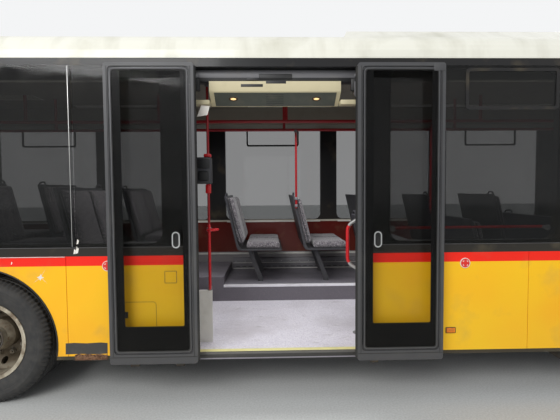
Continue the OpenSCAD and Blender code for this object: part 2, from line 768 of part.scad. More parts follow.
module hatch_pins(x) {
    both_sides() {
        rod_y(x + hatch_hinge, 130, 240, curb_z + 13, 5);
        for (y = [[130, 145], [225, 240]])
            block([x + hatch_hinge - 9, y[0], roof_z - 20], [x + hatch_hinge + 9, y[1], curb_z + 22]);
    }
}

module roof_hatch_front() {
    color("gainsboro") hatch_lid(hatches[1]);
}

module roof_hatch_rear() {
    color("gainsboro") hatch_lid(hatches[0]);
}

mirror_x = front_x - 475;

module mirrors() {
    color("black") both_sides() {
        difference() {
            rod_y(mirror_x, 1120, 1400, 2290, 14);
            nose_form(-fit_gap);
        }
        post(mirror_x, 1400, 2240, 2304, 14);
        block([mirror_x - 30, 1300, 1900], [mirror_x + 30, 1500, 2250]);
    }
}

// front face of the nose at distance y from the centre line
function bow_x(y) = front_x - bow_r + sqrt(bow_r * bow_r - y * y);

module wipers() {
    color("black") both_sides() difference() {
        rod_x(bow_x(420) - 30, bow_x(420) + 14, 420, lean_z - 25, 14);
        nose_form(0);
    }
}

// double seats, drawn for the left side and mirrored for the right: side (0 left, 1 right),
// x of the cushion's rear edge, height it is set from, how far its legs reach below that,
// and y of the far leg from the aisle edge
seats = concat(
    [for (i = [0:4]) [0, -730 + i * seat_pitch, podium_z, 0, 720]],
    [for (i = [0:2]) [1, 560 + i * seat_pitch, floor_z, 0, 720]],
    [for (s = [0, 1], x = [-1850, -3652, -4400]) [s, x, rear_floor_z, 0, 720]],
    [for (s = [0, 1]) [s, -2750, rear_floor_z + 50, 50, 240]],
    [for (s = [0, 1]) [s, -5480, deck_z - 65, -65, 720]]);
seat_y = podium_y + 76;
seat_l = 400;
back_h = 500;

module seat_places() {
    for (s = seats) mirror([0, s[0], 0]) translate([s[1], seat_y, s[2]]) children();
}

module seat_cushions() {
    color("rosybrown") seat_places() {
        block([0, 4, seat_rise - 80], [seat_l, seat_w - 4, seat_rise]);
        along_y(4, seat_w - 4) polygon([[-fit_gap, seat_rise - 40], [-132, seat_rise + back_h], [-200, seat_rise + back_h], [-68, seat_rise - 40]]);
    }
}

module seat_frames() {
    color("darkslategray") {
        seat_places() along_y(0, seat_w) polygon([[-20, seat_rise - 100], [seat_l + 8, seat_rise - 100], [seat_l + 8, seat_rise - 80.5],
            [-40, seat_rise - 80.5], [-68.4, seat_rise - 40], [-202, seat_rise + back_h + 8], [-222, seat_rise + back_h + 8], [-92, seat_rise - 60]]);
        for (s = seats) mirror([0, s[0], 0]) translate([s[1], seat_y, s[2]])
            for (y = [120, s[4]]) block([150, y, -s[3]], [210, y + 40, seat_rise - 99]);
    }
}

rail_y = 285;
rail_z = gutter_z - 295;

module handrails() {
    color("red") {
        for (s = [1, -1]) {
            rod_x(-4600, 3900, s * rail_y, rail_z, 15);
            for (x = [-4300, -2750, -1500, -288, 1600, 3200]) post(x, s * rail_y, rail_z + 14, ceiling_z, 15);
        }
        post(mid_x0 + 92, -1025, 806, ceiling_z, 10);
        post(mid_x1 + 60, -880, floor_z, duct_z, 17);
        post(3960, -560, floor_z, ceiling_z, 17);
    }
}

module screens() {
    color("whitesmoke") {
        block([mid_x0 - 60, -1035, floor_z], [mid_x0 + 110, -1015, 806]);
        block([mid_x0 - 60, -inner_y, floor_z], [mid_x0 - 40, -1035, 806]);
        block([mid_x1 + 50, -inner_y, floor_z], [mid_x1 + 70, -900, 1300]);
        block([3940, -inner_y, 1060], [3960, -640, 1500]);
    }
    color("gray") {
        block([cab_x, 255, floor_z], [cab_x + 30, inner_y, duct_z - 1]);
        for (z = [540, 1505]) block([cab_x + 14, 221, z], [cab_x + 38, 255, z + 15]);
        post(cab_x + 26, 233, 545, 590, 6);
        post(cab_x + 26, 233, 1470, 1515, 6);
    }
}

module ticket_validator() {
    color("dimgray") block([mid_x0 + 4, -1105, 1649], [mid_x0 + 127, -1035.3, 1854]);
}

module driver_seat() {
    color("dimgray") {
        block([4560, 480, 760], [5040, 960, 860]);
        block([4440, 490, 840], [4560 - fit_gap, 950, 1500]);
        block([4640, 560, floor_z + 150 + fit_gap], [4960, 880, 760 - fit_gap]);
    }
}

module dashboard() {
    color("dimgray") intersection() {
        nose_form(wall);
        block([5200, 260, 840], [5850, inner_y, 1080]);
    }
    color("dimgray") intersection() {
        nose_form(wall);
        block([cab_x + 30, 260, floor_z], [5800, inner_y, floor_z + 150]);
    }
    color("dimgray") translate([wheel_x, 720, 1090]) rotate([0, -28, 0]) {
        translate([0, 0, -640]) cylinder(h = 624.5, r = 30, $fn = 24);
        translate([0, 0, -20]) cylinder(h = 34, r = 12, $fn = 24);
    }
}

cab_x = front_x - 1825;

module cab_door() {
    color("gray") difference() {
        union() {
            block([cab_x + 26, 222, 560], [5150, 244, 1500]);
            post(cab_x + 26, 233, 560, 1500, 12);
        }
        block([4260, 200, 1150], [5080, 260, 1440]);
        post(cab_x + 26, 233, 550, 600, 6 + fit_gap);
        post(cab_x + 26, 233, 1460, 1510, 6 + fit_gap);
    }
}

wheel_x = front_x - 855;

module steering_wheel() {
    color("black") translate([wheel_x, 720, 1090]) rotate([0, -28, 0]) {
        rotate_extrude($fn = 48) translate([215, 0]) circle(14, $fn = 16);
        difference() {
            cylinder(h = 30, r = 60, center = true, $fn = 32);
            cylinder(h = 40, r = 12 + fit_gap, center = true, $fn = 24);
        }
        for (a = [0, 120, 240]) rotate([0, 0, a]) translate([40, -14, -8]) cube([170, 28, 16]);
    }
}

module door_drives() {
    color("beige") {
        block([mid_x0 + 134, -inner_y + 2, 2239], [mid_x1 - 142, -1075, 2400]);
        block([mid_x0 - 15, -inner_y + 20, 2400], [mid_x1 + 15, -1110, 2500]);
        block([mid_x0 - 15, -inner_y, 2500], [mid_x1 + 15, -1100, ceiling_z]);
        block([door_x0 - 60, -inner_y, 2500], [door_x1 - 135, -1080, ceiling_z]);
        block([door_x1 - 135, -inner_y, 2500], [door_x1, -1080, gutter_z]);
        block([door_x1, -inner_y + 30, 2500], [door_x1 + 36, -1080, gutter_z]);
    }
}

leaf_y = side_y + leaf_gap;
leaf_z1 = gutter_z - leaf_drop;
rear_leaf_x = mid_x0 + leaf_cover - leaf_w;
fore_leaf_x = mid_x1 - leaf_cover;

module sliding_frame(x) {
    along_y(-leaf_y - leaf_t, -leaf_y) difference() {
        rounded(x, leaf_z, x + leaf_w, leaf_z1, 20);
        rounded(x + leaf_frame, leaf_z + 90, x + leaf_w - leaf_frame, leaf_z1 - 45, 30);
    }
}

module middle_door_frames() {
    color("dimgray") {
        for (x = [rear_leaf_x, fore_leaf_x]) difference() {
            sliding_frame(x);
            along_y(-leaf_y - leaf_t - 1, -leaf_y - leaf_t + glass_t)
                rounded(x + 30, leaf_z + 70, x + leaf_w - 30, leaf_z1 - 25, 30);
        }
        for (x = [mid_x0 + 6, mid_x1 - 36]) block([x, -leaf_y, 2410], [x + 30, -inner_y + 20, 2440]);
    }
}

module middle_door_glass() {
    color("lightblue") for (x = [rear_leaf_x, fore_leaf_x])
        along_y(-leaf_y - leaf_t, -leaf_y - leaf_t + glass_t)
            rounded(x + 32, leaf_z + 72, x + leaf_w - 32, leaf_z1 - 27, 28);
}

// front doors: leaf, post and arm, drawn for the rearward leaf with x measured
// from the middle of the doorway towards the edge
swing_y = inner_y - swing_line;
swing_mid_y = side_y - 5 - swing_t / 2;
half_w = front_door_w / 2;
post_x = half_w + post_out;
roller_x = 23;
arm_l = (post_x - roller_x) / 2;
hinge_x = post_x - arm_l;
swing_end = half_w - jamb_gap;
swing_z0 = floor_z + 28;
swing_z1 = gutter_z - 110;
plate_t = 12;

module swing_frame() {
    difference() {
        union() {
            along_y(-swing_mid_y - swing_t / 2, -swing_mid_y + swing_t / 2) difference() {
                translate([3, swing_z0]) square([swing_end - 3, swing_z1 - swing_z0]);
                rounded(3 + leaf_frame, swing_z0 + 90, swing_end - leaf_frame, swing_z1 - 60, 30);
            }
            block([hinge_x - 25, -swing_mid_y - 10, swing_z0 - plate_t], [hinge_x + 25, -swing_y + 25, swing_z0]);
            block([hinge_x - 25, -swing_mid_y - 10, swing_z1], [hinge_x + 25, -swing_y + 25, swing_z1 + plate_t]);
            block([roller_x - 15, -swing_mid_y - 10, swing_z1], [roller_x + 15, -swing_y + 15, swing_z1 + plate_t]);
        }
        post(hinge_x, -swing_y, swing_z0 - plate_t - 1, swing_z0 + 1, 10 + fit_gap);
        post(hinge_x, -swing_y, swing_z1 - 1, swing_z1 + plate_t + 1, 10 + fit_gap);
        along_y(-swing_mid_y - swing_t / 2 - 1, -swing_mid_y - swing_t / 2 + glass_t)
            rounded(3 + 30, swing_z0 + 70, swing_end - 30, swing_z1 - 40, 30);
    }
    post(roller_x, -swing_y, swing_z1 + plate_t + 0.5, 2499, 8);
}

module swing_glass() {
    along_y(-swing_mid_y - swing_t / 2, -swing_mid_y - swing_t / 2 + glass_t)
        rounded(3 + 32, swing_z0 + 72, swing_end - 32, swing_z1 - 42, 28);
}

module swing_arm() {
    post(post_x, -swing_y, floor_z + 0.4, 2499, post_r);
    for (z = [swing_z0 - plate_t - 11, swing_z1 + plate_t + 0.5]) {
        block([hinge_x, -swing_y - 12, z], [post_x, -swing_y + 12, z + 10.5]);
        post(hinge_x, -swing_y, z, z + 10.5, 18);
    }
    post(hinge_x, -swing_y, swing_z0 - plate_t - 1, swing_z0 - 1, 10);
    post(hinge_x, -swing_y, swing_z1 + 1, swing_z1 + plate_t + 1, 10);
}

module aft_side() {
    translate([door_xc, 0, 0]) mirror([1, 0, 0]) children();
}

module fore_side() {
    translate([door_xc, 0, 0]) children();
}

module front_leaf_fore() {
    color("dimgray") fore_side() swing_frame();
}

module front_glass_fore() {
    color("lightblue") fore_side() swing_glass();
}

module arm_fore() {
    color("silver") fore_side() swing_arm();
}

module front_leaf_aft() {
    color("dimgray") aft_side() swing_frame();
}

module front_glass_aft() {
    color("lightblue") aft_side() swing_glass();
}

module arm_aft() {
    color("silver") aft_side() swing_arm();
}

// front axle beam, kingpins and brakes
boss_r = 48;
boss_h = 120;
lug_h = 36;
arm_x = 190;
arm_y = kingpin_y;
arm_z = 298;
eye_gap = 1;

module axles() {
    color("dimgray") {
        difference() {
            union() {
                along_x(front_axle_x - 40, front_axle_x + 40, [[-kingpin_y + 30, wheel_z - 50], [-kingpin_y + 30, wheel_z + 50],
                    [-770, wheel_z + 40], [-650, 335], [650, 335], [770, wheel_z + 40], [kingpin_y - 30, wheel_z + 50],
                    [kingpin_y - 30, wheel_z - 50], [785, wheel_z - 50], [690, 235], [-690, 235], [-785, wheel_z - 50]]);
                both_sides() post(front_axle_x, kingpin_y, wheel_z - boss_h / 2, wheel_z + boss_h / 2, boss_r);
            }
            both_sides() post(front_axle_x, kingpin_y, wheel_z - boss_h, wheel_z + boss_h, kingpin_d / 2 + fit_gap);
            block([front_axle_x - 50, -510, 320], [front_axle_x + 50, 510, 400]);
        }
        rod_y(rear_axle_x, -rear_disc_y + 100, rear_disc_y - 100, wheel_z, 62);
        both_sides() rod_y(rear_axle_x, rear_disc_y - 100, wheel_y + 34, wheel_z, 55);
        rod_y(rear_axle_x, -40, 240, wheel_z, 128);
        rod_x(rear_axle_x - 330, rear_axle_x - 60, 100, wheel_z, 80);
        both_sides() rod_x(front_axle_x - 250, front_axle_x - 30, 465, 252, 18);
        both_sides() post(front_axle_x, 600, 330, floor_under - fit_gap, 38);
        both_sides() {
            post(rear_axle_x - 330, 465, 360, 560, 110);
            post(rear_axle_x + 330, 465, 360, 560, 110);
            block([rear_axle_x - 400, 430, 320], [rear_axle_x + 400, 500, 360]);
            block([rear_axle_x - 50, 430, 360], [rear_axle_x + 50, 500, wheel_z]);
        }
    }
}

// steering knuckle, drawn for the left wheel
module knuckle(s) {
    z0 = wheel_z - boss_h / 2;
    z1 = wheel_z + boss_h / 2;
    mirror([0, s, 0]) translate([front_axle_x, kingpin_y, 0]) {
        post(0, 0, z0 - lug_h, z1 + lug_h, kingpin_d / 2);
        for (z = [z0 - lug_h, z1 + 0.4]) block([-38, -38, z], [38, 75, z + lug_h - 0.4]);
        block([-60, 55, z0 - lug_h], [60, 75, z1 + lug_h]);
        translate([0, 55, wheel_z]) rotate([-90, 0, 0]) cylinder(h = kingpin_offset, r = 45, $fn = 32);
        block([-arm_x - 18, -18, z0 - lug_h], [-30, 18, z0 - 12]);
        post(-arm_x, 0, arm_z - 14, z0 - lug_h + 5, 12);
    }
}

module knuckle_left() {
    color("gray") knuckle(0);
}

module knuckle_right() {
    color("gray") knuckle(1);
}

module tie_rod() {
    color("silver") difference() {
        union() {
            rod_y(front_axle_x - arm_x, -arm_y + 20, arm_y - 20, arm_z, 14);
            both_sides() post(front_axle_x - arm_x, arm_y, arm_z - 15, arm_z + 15, 24);
        }
        both_sides() post(front_axle_x - arm_x, arm_y, arm_z - 20, arm_z + 20, 12 + eye_gap);
    }
}

// a tyre's section turned about the wheel's axis; w runs outboard from the centre plane
module tyre() {
    h = tyre_w / 2;
    r = tyre_d / 2;
    b = rim_d / 2 + 1;
    rotate([-90, 0, 0]) rotate_extrude($fn = 48) polygon([[b, -rim_w / 2 + 16], [b + 16, -rim_w / 2 + 16],
        [b + 45, -h + 22], [b + 95, -h + 3], [r - 70, -h], [r - 22, -h + 12], [r, -h + 38],
        [r, h - 38], [r - 22, h - 12], [r - 70, h], [b + 95, h - 3], [b + 45, h - 22],
        [b + 16, rim_w / 2 - 16], [b, rim_w / 2 - 16], [b, rim_w / 2 - 40], [b + 50, h - 36],
        [r - 60, h - 26], [r - 26, h - 50], [r - 26, 50 - h], [r - 60, 26 - h], [b + 50, 36 - h], [b, 40 - rim_w / 2]]);
}

// rim barrel with its two flanges; the disc sits d outboard of the centre plane
module rim(d, bore) {
    b = rim_d / 2;
    w = rim_w / 2;
    s = sign(d);
    rotate([-90, 0, 0]) rotate_extrude($fn = 64)
        polygon([[b - 14, -w], [b + 13, -w], [b + 13, -w + 8], [b, -w + 15], [b, w - 15], [b + 13, w - 8],
            [b + 13, w], [b - 14, w]]);
    rotate([-90, 0, 0]) rotate_extrude($fn = 64)
        polygon([[bore, d], [bore, d - s * 14], [bore + 70, d - s * 14], [b - 14, d - s * (abs(d) - 60)], [b - 14, d - s * (abs(d) - 74)],
            [bore + 76, d]]);
}

module wheel_disc_holes(d) {
    for (a = [0:36:324]) rotate([0, a + 18, 0]) translate([225, 0, 0]) rotate([90, 0, 0])
        cylinder(h = 400, r = 24, center = true, $fn = 24);
}

module front_wheel(s) {
    mirror([0, s, 0]) translate([front_axle_x, wheel_y, wheel_z]) difference() {
        union() {
            rim(40, 80);
            rotate([-90, 0, 0]) rotate_extrude($fn = 48) polygon([[45 + fit_gap, -60], [82, -60], [82, 70], [60, 82], [0, 82], [0, 60], [45 + fit_gap, 60]]);
        }
        wheel_disc_holes(0);
    }
}

module rear_wheel(s) {
    mirror([0, s, 0]) translate([rear_axle_x, wheel_y, wheel_z]) {
        difference() {
            union() {
                rim(-twin_pitch / 2 + 2, 120);
                translate([0, -twin_pitch, 0]) rim(twin_pitch / 2 - 2, 120);
            }
            wheel_disc_holes(0);
        }
        rotate([-90, 0, 0]) rotate_extrude($fn = 48) polygon([[55 + fit_gap, -twin_pitch / 2 - 90], [122, -twin_pitch / 2 - 90],
            [122, -60], [90, -10], [90, 62], [0, 62], [0, 40], [55 + fit_gap, 40]]);
    }
}

module wheel_front_left() {
    color("lightgray") front_wheel(0);
}

module wheel_front_right() {
    color("lightgray") front_wheel(1);
}

module wheel_rear_left() {
    color("lightgray") rear_wheel(0);
}

module wheel_rear_right() {
    color("lightgray") rear_wheel(1);
}

module tyre_front_left() {
    color("black") translate([front_axle_x, wheel_y, wheel_z]) tyre();
}

module tyre_front_right() {
    color("black") translate([front_axle_x, -wheel_y, wheel_z]) tyre();
}

module tyres_rear_left() {
    color("black") for (y = [wheel_y, wheel_y - twin_pitch]) translate([rear_axle_x, y, wheel_z]) tyre();
}

module tyres_rear_right() {
    color("black") for (y = [wheel_y, wheel_y - twin_pitch]) translate([rear_axle_x, -y, wheel_z]) tyre();
}

module engine() {
    color("darkgray") {
        block([-5720, -430, 331], [-4760, 430, 980]);
        both_sides() for (x = [-5560, -4940]) block([x - 50, 425, 330 + fit_gap], [x + 50, 635, 375]);
    }
}

underframe_front();
underframe_rear();
floor();
platforms();
wheel_housings();
side_panels_right();
side_panels_left();
window_frame_right();
window_frame_left();
side_windows();
windscreen();
roof();
hatch_frames();
roof_unit();
ceiling();
front_mask();
destination_display();
headlamps();
rear_body();
tail_lamps();
mirrors();
wipers();
seat_frames();
seat_cushions();
handrails();
screens();
ticket_validator();
driver_seat();
dashboard();
door_drives();
middle_door_frames();
middle_door_glass();
axles();
engine();
engine_lid();
roof_hatch_front();
roof_hatch_rear();
cab_door();
steering_wheel();
tie_rod();
front_leaf_fore();
front_glass_fore();
arm_fore();
front_leaf_aft();
front_glass_aft();
arm_aft();
knuckle_left();
knuckle_right();
wheel_front_left();
tyre_front_left();
wheel_front_right();
tyre_front_right();
wheel_rear_left();
tyres_rear_left();
wheel_rear_right();
tyres_rear_right();
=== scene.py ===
# %% [markdown]
# A twelve-metre low-floor bus, dressed over its CAD model.
# Every panel, frame, pane, wheel and hinge already exists as an exact solid. This script gives
# those solids their paint, glass, rubber and dirt, and adds what is too small or too soft for the
# CAD: tread, seals, nuts, lamp glasses, grips, dials and the padded seats.
# X points forward, Y to the driver's side and Z up. The unit is the metre.

# %% Load the fixed frame
import json
import math

import bmesh
import bpy
from mathutils import Matrix, Vector
from mathutils.bvhtree import BVHTree


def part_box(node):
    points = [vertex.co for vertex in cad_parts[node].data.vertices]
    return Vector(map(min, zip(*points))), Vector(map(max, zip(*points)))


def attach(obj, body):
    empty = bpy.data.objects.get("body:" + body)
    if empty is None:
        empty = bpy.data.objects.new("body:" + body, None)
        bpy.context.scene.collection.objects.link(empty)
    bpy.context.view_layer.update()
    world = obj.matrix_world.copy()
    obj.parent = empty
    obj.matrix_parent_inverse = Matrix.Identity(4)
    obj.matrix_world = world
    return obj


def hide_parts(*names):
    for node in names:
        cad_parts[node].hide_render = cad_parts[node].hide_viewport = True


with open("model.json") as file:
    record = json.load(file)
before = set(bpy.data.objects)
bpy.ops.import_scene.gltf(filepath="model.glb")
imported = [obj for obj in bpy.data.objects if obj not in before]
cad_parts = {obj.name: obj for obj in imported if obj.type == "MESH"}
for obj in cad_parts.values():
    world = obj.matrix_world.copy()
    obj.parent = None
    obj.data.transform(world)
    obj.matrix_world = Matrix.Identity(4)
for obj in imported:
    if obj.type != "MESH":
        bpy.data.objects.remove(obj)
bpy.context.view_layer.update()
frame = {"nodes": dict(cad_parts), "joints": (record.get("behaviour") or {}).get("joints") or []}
cad = frame["nodes"]

# %% [markdown]
# The places that later pieces need are read off the frame, so that they stay true if the CAD
# changes. A box gives a node's lowest and highest corner, and a joint gives the place it turns
# about, which for a wheel is its middle.

# %% Driving places, read from the frame
def pivot(name):
    """The place that a joint turns about."""
    return next(joint["pos_m"] for joint in frame["joints"] if joint["name"] == name)


side_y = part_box("side_panels_left")[1].y      # the outer skin of the sides
waist_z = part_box("side_panels_left")[1].z     # the window band starts here
floor_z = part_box("floor")[1].z
front_axle_x, outer_wheel_y, wheel_z = pivot("wheel_front_left_spin")
rear_axle_x = pivot("wheels_rear_left_spin")[0]
tyre_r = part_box("tyre_front_left")[1].z - wheel_z
skirt_z = 0.385                               # the black sill strip ends, the yellow starts
stripe_z = 1.050                              # the red stripe starts
inner_y = side_y - 0.060                      # the lining, inside a wall of 60 mm
print("side panels reach y =", round(side_y, 4), "and the low floor is at z =", round(floor_z, 3))
print("axles at x =", front_axle_x, rear_axle_x, "and z =", wheel_z)

# %% [markdown]
# The camera stands where the picture was taken: about three metres off the side, a little behind
# the middle doorway, at eye height. The lens and the turn come from measuring how the straight
# edges of the doorway run. It has no shift and no depth of field.

# %% Camera
camera_place = Vector((-0.4594, -4.3540, 1.5959))
camera_yaw = 0.0259
camera_pitch = -0.0469
camera_roll = -0.0073

forward = Vector((math.sin(camera_yaw) * math.cos(camera_pitch),
                  math.cos(camera_yaw) * math.cos(camera_pitch), math.sin(camera_pitch)))
level = Vector((math.cos(camera_yaw), -math.sin(camera_yaw), 0))
upright = level.cross(forward)
right = math.cos(camera_roll) * level + math.sin(camera_roll) * upright
up = math.cos(camera_roll) * upright - math.sin(camera_roll) * level
lens = bpy.data.cameras.new("camera")
lens.sensor_width = 36
lens.lens = 27.03             # millimetres, from how fast the doorway's edges draw together
lens.clip_start = 0.05
lens.clip_end = 200
camera = bpy.data.objects.new("camera", lens)
camera.matrix_world = Matrix((right, up, -forward)).transposed().to_4x4()
camera.location = camera_place
bpy.context.scene.collection.objects.link(camera)
bpy.context.scene.camera = camera
print("the camera looks along", [round(v, 3) for v in forward])

# %% [markdown]
# Colours are written as on a paint card, in sRGB hex, and shaders want them linear. One function
# does that. Another adds a shader node with its settings and its links, and a third starts a
# material, so that each finish below reads as a short list of what it is made of.

# %% Colours, nodes and materials
def linear(code):
    """An sRGB hex colour as linear red, green, blue and 1."""
    parts = [int(code[i:i + 2], 16) / 255 for i in (1, 3, 5)]
    return [p / 12.92 if p < 0.04045 else ((p + 0.055) / 1.055) ** 2.4 for p in parts] + [1.0]


def add(tree, kind, inputs=None, **settings):
    """One node. Each input is a plain value, or the output of another node."""
    node = tree.nodes.new(kind)
    for name, value in settings.items():
        setattr(node, name, value)
    for name, value in (inputs or {}).items():
        if isinstance(value, bpy.types.NodeSocket):
            tree.links.new(value, node.inputs[name])
        else:
            node.inputs[name].default_value = value
    return node


# inputs 6 and 7 of a colour mix are its two colours, and output 2 is what comes out
MIX_A, MIX_B, MIXED = 6, 7, 2


def finish(name, colour, roughness, **settings):
    """A new material: its tree, its main shader and its place on the object."""
    made = bpy.data.materials.new(name)
    made.use_nodes = True
    tree = made.node_tree
    shader = tree.nodes["Principled BSDF"]
    shader.inputs["Base Color"].default_value = linear(colour)
    shader.inputs["Roughness"].default_value = roughness
    for socket, value in settings.items():
        shader.inputs[socket.replace("_", " ")].default_value = value
    place = add(tree, "ShaderNodeTexCoord").outputs["Object"]
    made.diffuse_color = linear(colour)
    return made, tree, shader, place


print("a mid grey as a shader wants it:", round(linear("#808080")[0], 3))

# %% [markdown]
# Real surfaces vary in patches: dirt, fading, wear. A noise texture of a given size in millimetres
# gives a mask of them, a mix lays one colour over another through the mask, and a bump raises it.
# Road dust is the same on every part, so it has a function too.

# %% Patches, tints, bump and dust
def blotches(tree, place, size, low, high, detail=3.0, stretch=(1, 1, 1)):
    """A mask of soft patches about size millimetres across, 0 outside them and 1 inside."""
    spread = add(tree, "ShaderNodeMapping", {"Vector": place, "Scale": stretch})
    noise = add(tree, "ShaderNodeTexNoise",
                {"Vector": spread.outputs["Vector"], "Scale": 1000 / size, "Detail": detail})
    limits = add(tree, "ShaderNodeMapRange",
                 {"Value": noise.outputs["Fac"], "From Min": low, "From Max": high})
    return limits.outputs["Result"]


def tinted(tree, mask, before, after):
    """The colour before, turned into the colour after where the mask is 1."""
    mixed = add(tree, "ShaderNodeMix", {0: mask, MIX_A: before, MIX_B: after}, data_type="RGBA")
    return mixed.outputs[MIXED]


def ranged(tree, value, low, high, at_low, at_high):
    """A value carried from one range into another, and held at its ends."""
    made = add(tree, "ShaderNodeMapRange", {"Value": value, "From Min": low, "From Max": high,
                                            "To Min": at_low, "To Max": at_high})
    return made.outputs["Result"]


def raised(tree, shader, height, millimetres):
    """Bump of that many millimetres from a height between 0 and 1."""
    bump = add(tree, "ShaderNodeBump",
               {"Height": height, "Distance": millimetres / 1000, "Strength": 1.0})
    tree.links.new(bump.outputs["Normal"], shader.inputs["Normal"])


def dusted(tree, shader, place, colour, dust="#8C8676", size=180, low=0.52, high=0.8, share=0.6):
    """Grey road dust over a colour, in patches and more of it near the ground."""
    height = add(tree, "ShaderNodeSeparateXYZ", {"Vector": place}).outputs["Z"]
    near_ground = ranged(tree, height, 0.35, 1.5, 0.16, 0.0)
    patches = blotches(tree, place, size, low, high, 5.0)
    amount = add(tree, "ShaderNodeMath", {0: patches, 1: share}, operation="MULTIPLY")
    both = add(tree, "ShaderNodeMath", {0: amount.outputs[0], 1: near_ground}, operation="ADD")
    both.use_clamp = True
    tree.links.new(tinted(tree, both.outputs[0], colour, linear(dust)), shader.inputs["Base Color"])
    return both.outputs[0]


print("road dust is", linear("#8C8676")[:3])

# %% [markdown]
# The body paint is two-pack enamel sprayed on metal and plastic panels. Its bands follow height
# alone, all round the bus: a black sill strip, yellow, a red stripe and the black window band. A
# colour ramp with hard steps over the height gives them. Dust settles towards the ground, and a
# faint orange peel of about 6 mm breaks the reflections. On the same solids the inner lining
# starts where Y comes inside the outer skin, so it gets its own colours by height.

# %% Body paint
RAMP_TOP = 3.0


def by_height(tree, height, bands):
    """Hard bands of colour up the body: (height where the band starts, colour)."""
    level = ranged(tree, height, 0, RAMP_TOP, 0, 1)
    ramp = add(tree, "ShaderNodeValToRGB", {"Fac": level})
    ramp.color_ramp.interpolation = "CONSTANT"
    steps = ramp.color_ramp.elements
    steps[0].position = 0
    steps[0].color = linear(bands[0][1])
    steps.remove(steps[1])
    for start, colour in bands[1:]:
        steps.new(start / RAMP_TOP).color = linear(colour)
    return ramp.outputs["Color"]


OUTSIDE_BANDS = [(0, "#1C1C1C"), (skirt_z, "#FFB40C"), (stripe_z, "#F01505"), (waist_z, "#1A1A1C")]
LINING_BANDS = [(0, "#8A878B"), (0.774, "#5C080C"), (1.172, "#BDB8AA"), (1.200, "#232324")]


def body_paint(name, lining):
    """Enamel in bands, faded in patches by the sun. The inner side may have its lining."""
    made, tree, shader, place = finish(name, "#FFB40C", 0.3, Coat_Weight=0.15, Coat_Roughness=0.08)
    shader.inputs["Specular IOR Level"].default_value = 0.2
    split = add(tree, "ShaderNodeSeparateXYZ", {"Vector": place})
    colour = by_height(tree, split.outputs["Z"], OUTSIDE_BANDS)
    sun = blotches(tree, place, 900, 0.35, 0.75)
    faded = add(tree, "ShaderNodeMix", {0: sun, MIX_A: colour, MIX_B: linear("#F1E7D2")},
                data_type="RGBA", blend_type="SOFT_LIGHT")
    outside = faded.outputs[MIXED]
    if lining:
        across = add(tree, "ShaderNodeMath", {0: split.outputs["Y"]}, operation="ABSOLUTE")
        is_inside = add(tree, "ShaderNodeMath", {0: across.outputs[0], 1: inner_y + 0.002},
                        operation="LESS_THAN")
        inside = by_height(tree, split.outputs["Z"], LINING_BANDS)
        outside = tinted(tree, is_inside.outputs[0], outside, inside)
    dust = dusted(tree, shader, place, outside, "#8A7C5E", 240, 0.56, 0.86, 0.35)
    tree.links.new(ranged(tree, dust, 0, 0.6, 0.28, 0.62), shader.inputs["Roughness"])
    raised(tree, shader, blotches(tree, place, 6, 0.3, 0.7, 1.0), 0.03)
    return made


paint = body_paint("two-pack enamel", False)
panel_paint = body_paint("two-pack enamel with laminate lining", True)
print("bands start at z =", [start for start, colour in OUTSIDE_BANDS])

# %% [markdown]
# The roof is pale gelcoat over glass fibre. Rain leaves it streaked across, and moss and soot sit
# in patches of a hand's width. It is duller than the sides, because it sees the most sun.

# %% Roof gelcoat
def roof_gelcoat():
    made, tree, shader, place = finish("chalked gelcoat", "#E4E2D5", 0.42, Coat_Weight=0.15)
    streaks = blotches(tree, place, 120, 0.48, 0.85, 4.0, (1.0, 0.12, 0.3))
    soot = blotches(tree, place, 420, 0.52, 0.9, 6.0)
    grey = tinted(tree, streaks, linear("#E4E2D5"), linear("#CFCCBD"))
    tree.links.new(tinted(tree, soot, grey, linear("#B9B6A2")), shader.inputs["Base Color"])
    tree.links.new(ranged(tree, soot, 0, 1, 0.36, 0.7), shader.inputs["Roughness"])
    raised(tree, shader, blotches(tree, place, 25, 0.3, 0.7, 2.0), 0.08)
    return made


gelcoat = roof_gelcoat()
print("roof:", gelcoat.name)

# %% [markdown]
# Plastics, powder coat, rubber and plain metal. Each has a fine grain in its bump, from 0.8 mm on
# chrome to 12 mm in the spangle of zinc, and a dust mask that also dulls the shine, so that no
# surface is one flat colour. Moulded plastic gives the eye a soft even sheen, powder coat a
# tighter one, rubber almost none, and castings and chassis enamel a coarse cloudy one.

# %% Plain finishes with grain and dust
def grained(name, colour, roughness, grain, depth, dust="#8C8676", share=0.35, metallic=0.0,
            worn=None):
    """A moulded, coated or cast surface. The grain and its depth are in millimetres, dust is a
    colour and its share, and worn is the colour where the coat has rubbed or rusted through."""
    made, tree, shader, place = finish(name, colour, roughness, Metallic=metallic)
    base = linear(colour)
    if worn:
        base = tinted(tree, blotches(tree, place, 35, 0.6, 0.72, 8.0), base, linear(worn))
    mask = dusted(tree, shader, place, base, dust, 120, 0.5, 0.85, share)
    tree.links.new(ranged(tree, mask, 0, 0.6, roughness, min(roughness + 0.3, 0.95)),
                   shader.inputs["Roughness"])
    raised(tree, shader, blotches(tree, place, grain, 0.25, 0.75, 2.0), depth)
    return made


